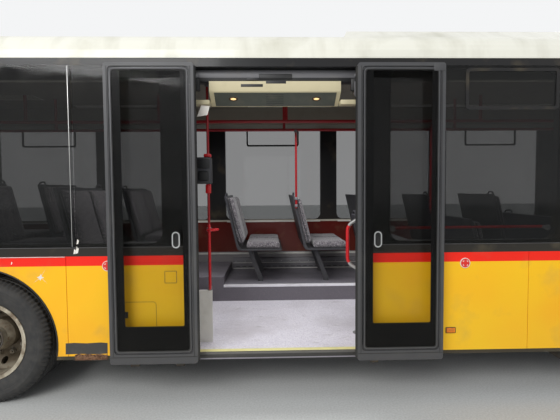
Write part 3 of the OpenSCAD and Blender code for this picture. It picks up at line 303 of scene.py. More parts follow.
door_alloy = grained("powder-coated door alloy", "#3D3D3F", 0.42, 3.0, 0.03, "#5E5B56", 0.25)
black_frame = grained("black enamelled steel", "#1E1E20", 0.38, 4.0, 0.03, "#6E6A60", 0.18)
black_plastic = grained("moulded black ABS", "#1B1B1C", 0.5, 1.2, 0.08, "#6E6A60", 0.2)
grey_plastic = grained("grey moulded ABS", "#4A494B", 0.48, 1.2, 0.08, "#7B776E", 0.2)
seat_shell = grained("seat shell polypropylene", "#35353A", 0.5, 1.5, 0.1, "#5E5B56", 0.2)
beige_plastic = grained("beige thermoformed ABS", "#C9BE9B", 0.5, 2.0, 0.05, "#8F8567", 0.3)
ceiling_laminate = grained("ceiling laminate", "#8E897C", 0.55, 2.0, 0.03, "#6B665A", 0.3)
rubber = grained("black weather rubber", "#161616", 0.7, 1.0, 0.08, "#5D5B54", 0.3)
red_coat = grained("red powder coat", "#C9141C", 0.33, 2.5, 0.03, "#7A1A1A", 0.2, worn="#9A1217")
# a darker red than the grab rails' coat, used on the CAD rails and the seat poles
rail_red = grained("darker red powder coat", "#98121A", 0.36, 2.5, 0.03, "#5A1414", 0.3,
                   worn="#7A0F14")
grey_rail = grained("grey cast rail fitting", "#77767A", 0.45, 1.5, 0.05)
chassis_paint = grained("chassis enamel", "#2B2A29", 0.6, 8.0, 0.3, "#7A6E5A", 0.6,
                        worn="#5A3A22")
cast_iron = grained("painted cast iron", "#34322F", 0.6, 2.0, 0.25, "#7A6E5A", 0.6,
                    worn="#5B3B25")
engine_paint = grained("engine enamel", "#4B5056", 0.5, 3.0, 0.1, "#57503F", 0.5)
screen_laminate = grained("pale laminate screen", "#E2DFDA", 0.4, 2.0, 0.02, "#8C8676", 0.35)
alloy = grained("brushed aluminium", "#B9B9B7", 0.34, 1.0, 0.02, "#8A867C", 0.25,
                metallic=0.85)
galvanised = grained("galvanised steel", "#8D8F8E", 0.5, 12.0, 0.05, "#6F675A", 0.5, metallic=0.6)
print("plain finishes:", len(bpy.data.materials))

# %% [markdown]
# Floor vinyl is pale lilac-grey sheet with flakes of dark and white quartz a few millimetres
# across, pressed in for grip. Shoes leave brown-grey lanes that follow no line, so two sizes of
# patches are laid over each other. Upright faces get a darker colour, a painted shade for faces
# turned away from the light above. The platforms under the seats get the same flakes on dark
# greys, painted shade for the shade under the seats.

# %% Floor vinyl
def flaked_vinyl(name, colour, dirt, dark_flake="#A39DA8", pale_flake="#F4F2F4"):
    made, tree, shader, place = finish(name, colour, 0.55)
    flakes = add(tree, "ShaderNodeTexVoronoi", {"Vector": place, "Scale": 1000 / 7})
    shade = add(tree, "ShaderNodeSeparateColor", {"Color": flakes.outputs["Color"]})
    dark = ranged(tree, shade.outputs["Red"], 0.84, 0.86, 0, 0.4)
    pale = ranged(tree, shade.outputs["Green"], 0.86, 0.88, 0, 0.7)
    speckled = tinted(tree, dark, linear(colour), linear(dark_flake))
    speckled = tinted(tree, pale, speckled, linear(pale_flake))
    lanes = blotches(tree, place, 500, 0.45, 0.85, 5.0)
    speckled = tinted(tree, lanes, speckled, linear(dirt))
    scuffs = blotches(tree, place, 60, 0.62, 0.75, 8.0, (0.4, 1.0, 1.0))
    speckled = tinted(tree, ranged(tree, scuffs, 0, 1, 0, 0.35), speckled, linear("#7C7672"))
    # upright faces are mixed towards #625D63: painted shade, darker where a face turns away from
    # the light above
    normal = add(tree, "ShaderNodeNewGeometry").outputs["Normal"]
    facing = add(tree, "ShaderNodeSeparateXYZ", {"Vector": normal})
    upright = ranged(tree, facing.outputs["Z"], 0.3, 0.7, 0.8, 0)
    speckled = tinted(tree, upright, speckled, linear("#625D63"))
    tree.links.new(speckled, shader.inputs["Base Color"])
    tree.links.new(ranged(tree, lanes, 0, 1, 0.42, 0.68), shader.inputs["Roughness"])
    raised(tree, shader, flakes.outputs["Distance"], 0.15)
    return made


vinyl = flaked_vinyl("flaked safety vinyl", "#DEDAE3", "#BDB7BC")
# the platforms' vinyl is given dark greys as painted shade, for the shade that the seats cast on it
podium_vinyl_painted_shade = flaked_vinyl("flaked safety vinyl in painted shade", "#77747C", "#68656B", "#57535A",
                            "#96939B")
print("floor vinyl:", vinyl.name, "and", podium_vinyl_painted_shade.name)

# %% [markdown]
# Wheels are pressed steel. They leave the factory silver; brake dust and road salt then turn the
# dish brown and bloom into rust along every edge, while the hub stays grey.

# %% Wheels and tyres
def pressed_steel(name, colour, rust_low):
    made, tree, shader, place = finish(name, colour, 0.5, Metallic=0.25)
    grime = blotches(tree, place, 90, 0.35, 0.7, 6.0)
    rust = blotches(tree, place, 28, rust_low, rust_low + 0.14, 9.0)
    shaded = tinted(tree, grime, linear(colour), linear("#5F4E3B"))
    shaded = tinted(tree, rust, shaded, linear("#7A5736"))
    across = add(tree, "ShaderNodeSeparateXYZ", {"Vector": place}).outputs["Y"]
    depth = add(tree, "ShaderNodeMath", {0: across}, operation="ABSOLUTE")
    # the dish browns from 1.16 m off the middle of the bus, at the rim's flange, to 0.99 m
    in_dish = ranged(tree, depth.outputs[0], 1.16, 0.99, 0, 0.85)
    shaded = tinted(tree, in_dish, shaded, linear("#4A3D2B"))
    tree.links.new(shaded, shader.inputs["Base Color"])
    tree.links.new(ranged(tree, grime, 0, 1, 0.42, 0.8), shader.inputs["Roughness"])
    raised(tree, shader, rust, 0.4)
    return made


rim_steel = pressed_steel("rusty pressed steel", "#C6BEAA", 0.6)


def tyre_compound():
    made, tree, shader, place = finish("tyre rubber", "#2F2F2F", 0.8)
    road = blotches(tree, place, 45, 0.35, 0.8, 6.0)
    tree.links.new(tinted(tree, road, linear("#2C2C2C"), linear("#3F3D3A")),
                   shader.inputs["Base Color"])
    raised(tree, shader, blotches(tree, place, 2.5, 0.3, 0.7, 3.0), 0.25)
    return made


tyre_rubber = tyre_compound()
print("wheels:", rim_steel.name, "and", tyre_rubber.name)

# %% [markdown]
# Toughened panes let only part of the light through and mirror the yard. A Principled shader with
# a fixed alpha does both and survives the export. The side panes are tinted dark, the windscreen
# is clear, and lamps get their own coloured plastic.

# %% Glass and lenses
def pane(name, colour, alpha, mirror=0.35, roughness=0.02):
    """Glass that covers what is behind it by alpha, under a thin film of dirt."""
    made, tree, shader, place = finish(name, colour, roughness, Alpha=alpha, IOR=1.52)
    shader.inputs["Specular IOR Level"].default_value = mirror
    film = blotches(tree, place, 160, 0.35, 0.85, 5.0)
    tree.links.new(tinted(tree, film, linear(colour), linear("#161614")),
                   shader.inputs["Base Color"])
    tree.links.new(ranged(tree, film, 0, 1, roughness, roughness + 0.12),
                   shader.inputs["Roughness"])
    raised(tree, shader, blotches(tree, place, 900, 0.2, 0.8, 0.0), 0.4)
    return made


side_glass = pane("tinted toughened glass", "#050606", 0.5)
door_glass = pane("grey toughened glass", "#0A0A09", 0.13, 0.12)
clear_glass = pane("laminated windscreen glass", "#10120F", 0.22)


def lens_plastic(name, colour, alpha):
    """Moulded acrylic with fine upright ribs."""
    made, tree, shader, place = finish(name, colour, 0.12, Alpha=alpha)
    ribs = add(tree, "ShaderNodeTexWave", {"Vector": place, "Scale": 40.0, "Distortion": 0.0},
               bands_direction="Y")
    grime = blotches(tree, place, 40, 0.45, 0.9, 4.0)
    tree.links.new(tinted(tree, grime, linear(colour), linear("#4A4238")),
                   shader.inputs["Base Color"])
    raised(tree, shader, ribs.outputs["Fac"], 0.3)
    return made


red_lens = lens_plastic("red lamp acrylic", "#C4100C", 1.0)
amber_lens = lens_plastic("amber lamp acrylic", "#F08412", 1.0)
clear_lens = lens_plastic("clear lamp acrylic", "#DDE2E4", 0.55)
print("finishes in all:", len(bpy.data.materials))

# %% [markdown]
# Seat cloth is a cut-pile moquette in greys and browns with no drawn figure. Tufts about 2 mm
# apart make the grain, and colour patches of 9 and 22 mm make the mottle.

# %% Moquette
def moquette():
    made, tree, shader, place = finish("mottled moquette", "#6C645E", 0.95)
    shader.inputs["Sheen Weight"].default_value = 0.35
    fine = blotches(tree, place, 9, 0.46, 0.56, 4.0)
    coarse = blotches(tree, place, 22, 0.46, 0.6, 3.0)
    dots = blotches(tree, place, 6, 0.6, 0.66, 2.0)
    cloth = tinted(tree, fine, linear("#3A383D"), linear("#8E898C"))
    cloth = tinted(tree, ranged(tree, coarse, 0, 1, 0, 0.6), cloth, linear("#545057"))
    cloth = tinted(tree, dots, cloth, linear("#C2BCBE"))
    tree.links.new(cloth, shader.inputs["Base Color"])
    tufts = add(tree, "ShaderNodeTexVoronoi", {"Vector": place, "Scale": 1000 / 2.2})
    raised(tree, shader, tufts.outputs["Distance"], 0.5)
    return made


seat_cloth = moquette()
print("seats:", seat_cloth.name)

# %% [markdown]
# Each CAD node now takes its finish. Its mesh is never touched: only its material slots are.

# %% Finishes on the CAD nodes
DRESSED = {
    paint: ["front_mask", "rear_body", "engine_lid"],
    panel_paint: ["side_panels_right", "side_panels_left", "window_frame_right",
                  "window_frame_left"],
    side_glass: ["side_windows"],
    clear_glass: ["windscreen"],
    door_glass: ["middle_door_glass", "front_glass_fore", "front_glass_aft"],
    gelcoat: ["roof", "roof_unit", "hatch_frames", "roof_hatch_front", "roof_hatch_rear"],
    ceiling_laminate: ["ceiling"],
    black_plastic: ["destination_display", "mirrors", "wipers", "steering_wheel", "dashboard"],
    clear_lens: ["headlamps"],
    red_lens: ["tail_lamps"],
    seat_shell: ["seat_frames"],
    seat_cloth: ["seat_cushions"],
    rail_red: ["handrails"],
    screen_laminate: ["screens"],
    grey_plastic: ["ticket_validator", "driver_seat", "cab_door"],
    beige_plastic: ["door_drives"],
    door_alloy: ["middle_door_frames", "front_leaf_fore", "front_leaf_aft"],
    galvanised: ["arm_fore", "arm_aft", "tie_rod"],
    vinyl: ["floor"],
    podium_vinyl_painted_shade: ["platforms"],
    chassis_paint: ["underframe_front", "underframe_rear", "wheel_housings"],
    cast_iron: ["axles", "knuckle_left", "knuckle_right"],
    engine_paint: ["engine"],
    rim_steel: ["wheel_front_left", "wheel_front_right", "wheel_rear_left", "wheel_rear_right"],
    tyre_rubber: ["tyre_front_left", "tyre_front_right", "tyres_rear_left", "tyres_rear_right"],
}
for look, names in DRESSED.items():
    for name in names:
        cad[name].data.materials.clear()
        cad[name].data.materials.append(look)
coated = {name for names in DRESSED.values() for name in names}
print("nodes without a finish:", sorted(set(cad) - coated))

# %% [markdown]
# From here on the script makes the small pieces. Their forms are drawn in millimetres in one
# bmesh, out of a few simple moves. A bmesh is chosen over modifiers, because each piece is drawn
# once from measured places. The first moves are a slab with rounded edges, a flat outline pushed
# along an axis, and a ring between two outlines.

# %% Slabs and outlines, in millimetres
def slab(form, low, high, edge=0.0, segments=2):
    """A block with rounded edges."""
    low, high = Vector(low), Vector(high)
    corners = bmesh.ops.create_cube(form, size=1)["verts"]
    for corner in corners:
        corner.co = Vector([low[i] + (corner.co[i] + 0.5) * (high[i] - low[i]) for i in range(3)])
    if edge:
        edges = list({e for corner in corners for e in corner.link_edges})
        bmesh.ops.bevel(form, geom=edges, offset=edge, segments=segments, affect="EDGES",
                        profile=0.5)


def on_axis(axis, a, b, t):
    """A point of a flat outline, t along an axis: (X, Z) on Y, (Y, Z) on X, (X, Y) on Z."""
    return {"x": (t, a, b), "y": (a, t, b), "z": (a, b, t)}[axis]


def rounded(x0, z0, x1, z1, r, steps=6):
    """The outline of a rectangle with round corners."""
    middles = [(x1 - r, z1 - r, 0), (x0 + r, z1 - r, 90), (x0 + r, z0 + r, 180),
               (x1 - r, z0 + r, 270)]
    return [(cx + r * math.cos(math.radians(start + 90 * i / steps)),
             cz + r * math.sin(math.radians(start + 90 * i / steps)))
            for cx, cz, start in middles for i in range(steps + 1)]


def circle(cx, cz, r, steps=32):
    """The outline of a circle, or with few steps of a nut."""
    return [(cx + r * math.cos(math.tau * i / steps), cz + r * math.sin(math.tau * i / steps))
            for i in range(steps)]


def push(form, outline, axis, start, end):
    """A flat outline made solid between two places on an axis."""
    rings = [[form.verts.new(on_axis(axis, a, b, t)) for a, b in outline] for t in (start, end)]
    count = len(outline)
    for i in range(count):
        j = (i + 1) % count
        form.faces.new((rings[0][i], rings[0][j], rings[1][j], rings[1][i]))
    form.faces.new(rings[0][::-1])
    form.faces.new(rings[1])


def band(form, outer, inner, axis, start, end):
    """A flat ring between two outlines with equally many points, made solid."""
    count = len(outer)
    grid = [[form.verts.new(on_axis(axis, a, b, t)) for a, b in loop]
            for loop, t in ((outer, start), (outer, end), (inner, end), (inner, start))]
    for side in range(4):
        one, two = grid[side], grid[(side + 1) % 4]
        for i in range(count):
            j = (i + 1) % count
            form.faces.new((one[i], one[j], two[j], two[i]))

print("a rounded outline has", len(rounded(0, 0, 10, 10, 2)), "points")

# %% [markdown]
# Rails are tubes along a path. Lamps, nuts and tyres are profiles turned round an axis, as on a
# lathe. A path's rings keep their turn from one point to the next, so that a bend doesn't twist.

# %% Tubes and turned shapes, in millimetres
def tube(form, path, radius, sides=12, loop=False):
    """A round bar along a path, closed at its ends or looped."""
    points = [Vector(p) for p in path]
    count = len(points)
    rings, across = [], None
    for i, point in enumerate(points):
        before = points[i - 1] if i or loop else point
        after = points[(i + 1) % count] if i < count - 1 or loop else point
        ahead = (after - before).normalized()
        across = ahead.orthogonal() if across is None else across - ahead * across.dot(ahead)
        across.normalize()
        side = ahead.cross(across)
        rings.append([form.verts.new(point + radius * (across * math.cos(math.tau * k / sides)
                                                       + side * math.sin(math.tau * k / sides)))
                      for k in range(sides)])
    for i in range(count if loop else count - 1):
        one, two = rings[i], rings[(i + 1) % count]
        turn = 0
        if loop and i == count - 1:
            turn = min(range(sides), key=lambda k: (one[0].co - two[k].co).length)
        for k in range(sides):
            form.faces.new((one[k], one[(k + 1) % sides],
                            two[(k + 1 + turn) % sides], two[(k + turn) % sides]))
    if not loop:
        form.faces.new(rings[0][::-1])
        form.faces.new(rings[-1])


def turned(form, profile, centre, axis, steps=32):
    """A closed profile of (place along the axis, radius), turned round the axis."""
    order = {"x": (0, 1, 2), "y": (1, 2, 0), "z": (2, 0, 1)}[axis]
    rings = []
    for along, radius in profile:
        ring = []
        for k in range(steps if radius > 0.001 else 1):
            place = [0.0, 0.0, 0.0]
            place[order[0]] = along
            place[order[1]] = radius * math.cos(math.tau * k / steps)
            place[order[2]] = radius * math.sin(math.tau * k / steps)
            ring.append(form.verts.new(Vector(centre) + Vector(place)))
        rings.append(ring)
    for i, one in enumerate(rings):
        two = rings[(i + 1) % len(rings)]
        if len(one) == 1 and len(two) == 1:
            continue
        for k in range(steps):
            corners = [one[k % len(one)], one[(k + 1) % len(one)],
                       two[(k + 1) % len(two)], two[k % len(two)]]
            form.faces.new(list(dict.fromkeys(corners)))

print("tubes and turned shapes are ready")

# %% [markdown]
# One function turns a drawn form into a finished object: faces outward, smooth between its sharp
# edges, scaled to metres and riding on its body.

# %% A finished piece
def placed(form, name, look, body="vehicle", angle=40):
    """The drawn form as a finished piece that rides on a body."""
    bmesh.ops.recalc_face_normals(form, faces=form.faces)
    bmesh.ops.scale(form, vec=(0.001, 0.001, 0.001), verts=form.verts)
    mesh = bpy.data.meshes.new(name)
    form.to_mesh(mesh)
    form.free()
    mesh.materials.append(look)
    mesh.shade_smooth()
    mesh.set_sharp_from_angle(angle=math.radians(angle))
    made = bpy.data.objects.new(name, mesh)
    bpy.context.scene.collection.objects.link(made)
    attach(made, body)
    return made


print("drawing helpers ready")

# %% [markdown]
# The same places in millimetres, for the pieces. The sliding leaves stand 60 mm off the side, and
# their outer face is 100 mm off it.

# %% Places in millimetres
frames_low, frames_high = [corner * 1000 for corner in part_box("middle_door_frames")]
leaf_w = 625
rear_leaf_x = frames_low.x
fore_leaf_x = frames_high.x - leaf_w
leaf_z0 = frames_low.z
leaf_z1 = leaf_z0 + 2132
leaf_out, leaf_in = -1375, -1335      # the leaf's outer and inner face
skin_y = -1275                        # the outer skin of the right side
LEAVES = [("fore", fore_leaf_x), ("rear", rear_leaf_x)]
print("leaves start at X =", round(rear_leaf_x, 1), "and", round(fore_leaf_x, 1))

# %% [markdown]
# The sliding leaves are toughened glass glued into grey aluminium frames. The glass has a black
# ceramic border fired on its inner face, wide at the foot, that hides the glue: it looks deep black
# and hardly mirrors. A thin anodised bead runs round the opening, pressed lines step the frame, and
# a black rubber lip closes the leading edge.

# %% Sliding leaves
ceramic_border = grained("black ceramic frit", "#0B0B0C", 0.3, 1.5, 0.01, "#3A3833", 0.12)
ceramic_border.node_tree.nodes["Principled BSDF"].inputs["Specular IOR Level"].default_value = 0.12
pale_bead = grained("anodised glazing bead", "#58585B", 0.4, 1.0, 0.01, "#77736B", 0.2,
                    metallic=0.4)


def opening(x, grow, corner):
    """The opening in a leaf's frame, grown by so much all round."""
    return rounded(x + 49 - grow, leaf_z0 + 89 - grow, x + 576 + grow, leaf_z1 - 44 + grow, corner)


for side, x in LEAVES:
    form = bmesh.new()
    clear_part = rounded(x + 112, leaf_z0 + 272, x + 531, leaf_z1 - 58, 10)
    band(form, opening(x, 15, 27), clear_part, "y", leaf_out + 6.2, leaf_out + 7.4)
    placed(form, f"frit_{side}", ceramic_border)

    form = bmesh.new()
    band(form, opening(x, 5, 27), opening(x, 0, 24), "y", leaf_out - 2, leaf_out + 1)
    placed(form, f"bead_{side}", pale_bead)

    form = bmesh.new()
    band(form, opening(x, 0, 24), opening(x, -8, 20), "y", leaf_out - 0.8, leaf_out + 0.6)
    near, far = leaf_out - 1.2, leaf_out + 1
    slab(form, (x + 3, near, leaf_z0 + 48), (x + 622, far, leaf_z0 + 53), 0.5, 1)
    for line_x in (x + 22, x + 599):
        slab(form, (line_x, near, leaf_z0 + 55), (line_x + 4, far, leaf_z1 - 24), 0.5, 1)
    placed(form, f"leaf_gasket_{side}", rubber)

    leading, ahead = (x, -1) if side == "fore" else (x + leaf_w, 1)
    lip = [(leading + ahead * a, y) for a, y in
           ((-3, leaf_out + 3), (7, leaf_out + 5), (12.5, leaf_out + 13), (12.5, leaf_in - 13),
            (7, leaf_in - 5), (-3, leaf_in - 3))]
    form = bmesh.new()
    push(form, lip, "z", leaf_z0 + 22, leaf_z1 - 22)
    placed(form, f"leaf_lip_{side}", rubber)
print("leaves dressed:", [side for side, x in LEAVES])

# %% [markdown]
# Each leaf has a recessed grip: a slot with round ends, a chromed rim round it and a black cup
# behind. The rear leaf also carries an empty rubber frame, and the fore leaf a plate on its upper
# corner.

# %% Grips and plates of the leaves
chrome = grained("satin chrome", "#C9C9C8", 0.16, 0.8, 0.01, "#8A867C", 0.1, metallic=1.0)
GRIPS = [("rear", rear_leaf_x + leaf_w - 141.5, 1250), ("fore", fore_leaf_x + 144.5, 1240)]


def stadium(cx, cz, width, height, steps=10):
    """The outline of a slot with round ends."""
    r, half = width / 2, (height - width) / 2
    return [(cx + r * math.cos(math.radians(start + 180 * i / steps)),
             cz + shift + r * math.sin(math.radians(start + 180 * i / steps)))
            for shift, start in ((half, 0), (-half, 180)) for i in range(steps + 1)]


for side, x, z in GRIPS:
    cup = stadium(x, z, 39, 99)
    form = bmesh.new()
    band(form, stadium(x, z, 57, 117), cup, "y", leaf_out - 4.5, leaf_out - 1)
    band(form, stadium(x, z, 44, 104), cup, "y", leaf_out - 1, leaf_out + 22)
    placed(form, f"grip_rim_{side}", chrome)
    form = bmesh.new()
    push(form, cup, "y", leaf_out + 18, leaf_out + 22)
    placed(form, f"grip_cup_{side}", black_plastic)

form = bmesh.new()
band(form, rounded(-1205, 942, -1118, 1030, 6), rounded(-1201.5, 945.5, -1121.5, 1026.5, 4),
     "y", leaf_out - 1.6, leaf_out + 0.2)
placed(form, "leaf_blank_sign", rubber)

form = bmesh.new()
slab(form, (fore_leaf_x + 538, leaf_out - 3, leaf_z1 - 60),
     (fore_leaf_x + 621, leaf_out + 1, leaf_z1 - 6), 2)
placed(form, "leaf_corner_plate", door_alloy)
print("grips at X =", [round(x, 1) for side, x, z in GRIPS])

# %% [markdown]
# The doorway has a rubber seal down each side and a worn alloy sill with a pale yellow edge that
# warns of the step. The trims of the window band are long thin strips, so they are slabs too.

# %% Seals, sill and trims on the right side
mid_x0 = (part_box("door_drives")[0].x + 0.015) * 1000
mid_x1 = mid_x0 + 1250
form = bmesh.new()
for x, ahead in ((mid_x0, 1), (mid_x1, -1)):
    lip = [(x - ahead * 2, skin_y + 2), (x - ahead * 2, skin_y - 6), (x + ahead * 6, skin_y - 14),
           (x + ahead * 14, skin_y - 12), (x + ahead * 12, skin_y + 26), (x, skin_y + 30)]
    push(form, lip, "z", 392, 2495)
placed(form, "doorway_seals", rubber)

sill_alloy = grained("worn sill alloy", "#6F6D69", 0.45, 1.0, 0.03, "#57534C", 0.3, metallic=0.4)
form = bmesh.new()
slab(form, (mid_x0 + 1, skin_y - 3, 382), (mid_x1 - 1, skin_y + 22, 397), 3)
placed(form, "sill_plate", sill_alloy)
form = bmesh.new()
slab(form, (mid_x0 + 4, skin_y + 24, 391), (mid_x1 - 4, skin_y + 78, 394.5), 1)
sill_yellow = grained("pale yellow edge strip", "#EFE7A0", 0.5, 1.0, 0.03, "#A39C80", 0.3)
placed(form, "sill_warning_strip", sill_yellow)
form = bmesh.new()
slab(form, (mid_x0 + 1, skin_y + 2, 355), (mid_x1 - 1, skin_y + 12, 381), 2)
placed(form, "sill_front_strip", black_frame)

form = bmesh.new()
for x0, x1 in ((-5600, mid_x0 - 8), (mid_x1 + 8, 4000)):
    slab(form, (x0, skin_y - 3, 1186), (x1, skin_y + 1, 1190), 1)
slab(form, (-5600, 1274, 1186), (4700, 1278, 1190), 1)
placed(form, "band_trims", grey_plastic)
form = bmesh.new()
slab(form, (-5600, skin_y - 2.5, 1119), (-1946, skin_y + 1, 1124), 1)
slab(form, (-1894, skin_y - 2, 1196), (-1890, skin_y + 1, 2494), 0.8)
placed(form, "silver_joint_strips", alloy)
print("the doorway runs from X =", round(mid_x0, 1), "to", round(mid_x1, 1))

# %% [markdown]
# Round stop buttons sit by the doorway, each a red cap in a white ring with four printed arcs. The
# side markers are amber lenses in low rubber rims.

# %% Buttons and side markers
button_red = grained("red button polycarbonate", "#E02A20", 0.25, 1.0, 0.01, "#7A1A1A", 0.15)
white_print = grained("white screen print", "#E8E2D8", 0.45, 1.0, 0.01, "#8C8676", 0.3)
marker_z = 538


def stop_button(name, x, z):
    """The cap, the ring round it and the arcs printed on the cap."""
    form = bmesh.new()
    turned(form, [(2, 0), (-7, 0), (-7, 30), (-4, 33), (2, 33)], (x, skin_y, z), "y", 40)
    placed(form, f"button_{name}", button_red)
    form = bmesh.new()
    turned(form, [(2, 33), (-5, 33), (-6, 36), (-3, 38.5), (2, 38.5)], (x, skin_y, z), "y", 40)
    for i in range(4):
        start = math.tau * i / 4 + 0.5
        arc = [(x + r * math.cos(start + a * 0.55), z + r * math.sin(start + a * 0.55))
               for r, turns in ((24, (0, 0.5, 1)), (18, (1, 0.5, 0))) for a in turns]
        push(form, arc, "y", skin_y - 7.6, skin_y - 6)
    placed(form, f"button_ring_{name}", white_print)


def side_marker(name, x, y, out):
    """A lens in its rim on the skin at y. Outside is towards out, 1 or -1."""
    form = bmesh.new()
    near, far = sorted((y, y + out * 9))
    slab(form, (x - 33, near, marker_z - 18), (x + 33, far, marker_z + 18), 4, 3)
    placed(form, f"marker_{name}", amber_lens)
    form = bmesh.new()
    rim, lens_edge = [rounded(x - w, marker_z - h, x + w, marker_z + h, 6)
                      for w, h in ((38, 22), (33, 18))]
    band(form, rim, lens_edge, "y", y - 1, y + out * 5)
    placed(form, f"marker_rim_{name}", rubber)


stop_button("fore", 999, 1044)
stop_button("rear", -1642, 1053)
for i, x in enumerate((895, 4080, -4400)):
    side_marker(f"right_{i}", x, skin_y, -1)
for i, x in enumerate((4080, 1900, -600, -4300)):
    side_marker(f"left_{i}", x, -skin_y, 1)
print("door and side trims made")

# %% [markdown]
# Passenger seats are padded: a foam pan and a foam back, covered in moquette and pulled into a
# moulded shell. Cloth simulation gives the crown and the pulled-in corners that a bevel can't. One
# seat and one back are inflated here and then copied to every place, since all come out of one
# mould. A place is the side (0 left, 1 right), X, and the height of the floor under the seat.

# %% Where the seats are
seat_rise = 465                       # pan above its floor
seat_span = 872                       # a pair, across
aisle_edge = 284                      # the shell's edge towards the aisle
pitch = 748.03
REAR_PLACES = ((-1850, 654), (-3652, 654), (-4400, 654), (-2750, 704), (-5480, 985))
PODIUM_SEATS = [(0, -730 + i * pitch, 563) for i in range(5)]
RIGHT_SEATS = [(1, 560 + i * pitch, 390) for i in range(3)]
REAR_SEATS = [(side, x, z) for side in (0, 1) for x, z in REAR_PLACES]
SEAT_PAIRS = PODIUM_SEATS + RIGHT_SEATS + REAR_SEATS
print("pairs of seats:", len(SEAT_PAIRS), "and one place in the middle of the rear bench")

# %% [markdown]
# Each pad starts as a closed block with rounded edges, in its own frame: the pan lies flat and the
# back leans back with its shell. Voxel remesh gives the cloth an even skin, pressure swells it, and
# no point may go further than the cap. A decimate brings it down to a few thousand triangles.

# %% Inflate one pad
SIM_FRAMES = 20


def bake(made):
    """Turn what the modifiers show into the object's own mesh, and remove them."""
    depsgraph = bpy.context.evaluated_depsgraph_get()
    mesh = bpy.data.meshes.new_from_object(made.evaluated_get(depsgraph))
    made.modifiers.clear()
    made.data = mesh


def inflated(name, form, cap, voxel, pressure, triangles):
    """A foam pad from a closed form in millimetres: swollen by cloth pressure, then thinned out."""
    bmesh.ops.recalc_face_normals(form, faces=form.faces)
    bmesh.ops.scale(form, vec=(0.001, 0.001, 0.001), verts=form.verts)
    mesh = bpy.data.meshes.new(name)
    form.to_mesh(mesh)
    form.free()
    pad = bpy.data.objects.new(name, mesh)
    bpy.context.scene.collection.objects.link(pad)
    remesh = pad.modifiers.new("remesh", "REMESH")
    remesh.mode = "VOXEL"
    remesh.voxel_size = voxel / 1000
    bake(pad)
    start = [v.co.copy() for v in pad.data.vertices]
    cloth = pad.modifiers.new("cloth", "CLOTH")
    cloth.settings.use_pressure = True
    cloth.settings.uniform_pressure_force = pressure
    cloth.settings.effector_weights.gravity = 0
    cloth.settings.quality = 4
    for step in range(SIM_FRAMES):
        bpy.context.scene.frame_set(step + 1)
    bake(pad)
    bpy.context.scene.frame_set(1)
    for vertex, before in zip(pad.data.vertices, start):
        move = vertex.co - before
        if move.length > cap / 1000:
            vertex.co = before + move.normalized() * cap / 1000
    thin = pad.modifiers.new("thin", "DECIMATE")
    thin.ratio = min(1.0, triangles / (2 * len(pad.data.polygons)))
    bake(pad)
    pad.data.shade_smooth()
    return pad

print("a pad swells for", SIM_FRAMES, "frames")

# %% [markdown]
# The pan starts as a flat block. The back starts as its side view pushed across the seat. A pad is
# a little narrower than half of the pair's shell, so that the shell's edge stays in sight.

# %% One pan and one back
def pan_form(width):
    """The seat pan, a flat block with well rounded edges."""
    form = bmesh.new()
    slab(form, (9, 13, seat_rise - 77), (392, width - 5, seat_rise - 9), 18, 4)
    return form


def back_form(width):
    """The back pad, leaning as its shell does and thinner towards its head."""
    form = bmesh.new()
    side = [(-10, 2), (-132, 478), (-146, 493), (-178, 493),
            (-191, 478), (-74, 2), (-62, -28), (-24, -28)]
    push(form, [(x, seat_rise + z) for x, z in side], "y", 13, width - 5)
    edges = [e for e in form.edges if abs(e.verts[0].co.y - e.verts[1].co.y) < 1]
    bmesh.ops.bevel(form, geom=edges, offset=14, segments=3, affect="EDGES", profile=0.5)
    return form


single = seat_span / 2 - 3
pan = inflated("pan_master", pan_form(single), cap=9, voxel=9, pressure=3.0, triangles=2200)
back = inflated("back_master", back_form(single), cap=9, voxel=9, pressure=3.0, triangles=2600)
print("one pan has", len(pan.data.polygons), "faces and one back", len(back.data.polygons))

# %% [markdown]
# The copies are joined in two pieces, pans and backs. The pans stand for the plain CAD cushions.

# %% Copies at every place
def half_y(half):
    """Where one of a pair's two pads starts across the bus: 0 by the aisle, 1 by the wall."""
    return aisle_edge + 4 + half * (single + 4)


def copies(name, master, look):
    """The master pad at each seat of each pair, as one mesh."""
    form = bmesh.new()
    places = [(side, x, z, half_y(half)) for side, x, z in SEAT_PAIRS for half in (0, 1)]
    places.append((0, -5480, 985, -single / 2 - 4))
    for side, x, z, y in places:
        before = len(form.verts)
        form.from_mesh(master.data)
        form.verts.ensure_lookup_table()
        added = form.verts[before:]
        for vertex in added:
            vertex.co += Vector((x, y, z)) / 1000
            if side:
                vertex.co.y = -vertex.co.y
        if side:
            faces = list({f for vertex in added for f in vertex.link_faces})
            bmesh.ops.reverse_faces(form, faces=faces)
    mesh = bpy.data.meshes.new(name)
    form.to_mesh(mesh)
    form.free()
    mesh.materials.append(look)
    mesh.shade_smooth()
    made = bpy.data.objects.new(name, mesh)
    bpy.context.scene.collection.objects.link(made)
    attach(made, "vehicle")
    return made


pans = copies("seat_pans", pan, seat_cloth)
backs = copies("seat_backs", back, seat_cloth)
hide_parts("seat_cushions")
for master in (pan, back):
    bpy.data.objects.remove(master)
print("pads:", len(pans.data.polygons) + len(backs.data.polygons), "faces")

# %% [markdown]
# A moulded edge frames each seat back, which gives the seat its outline from the side. Grab handles
# stand on the aisle corner of each back.

# %% Seat edges and handles
form = bmesh.new()
for side, x, z in SEAT_PAIRS:
    for half in (0, 1):
        sign = -1 if side else 1
        for y in (half_y(half) + 5, half_y(half) + single - 1):
            path = [(x - 30, sign * y, z + seat_rise - 30), (x - 98, sign * y, z + seat_rise + 200),
                    (x - 170, sign * y, z + seat_rise + 480)]
            tube(form, path, 5.5, 8)
placed(form, "seat_piping", seat_shell)

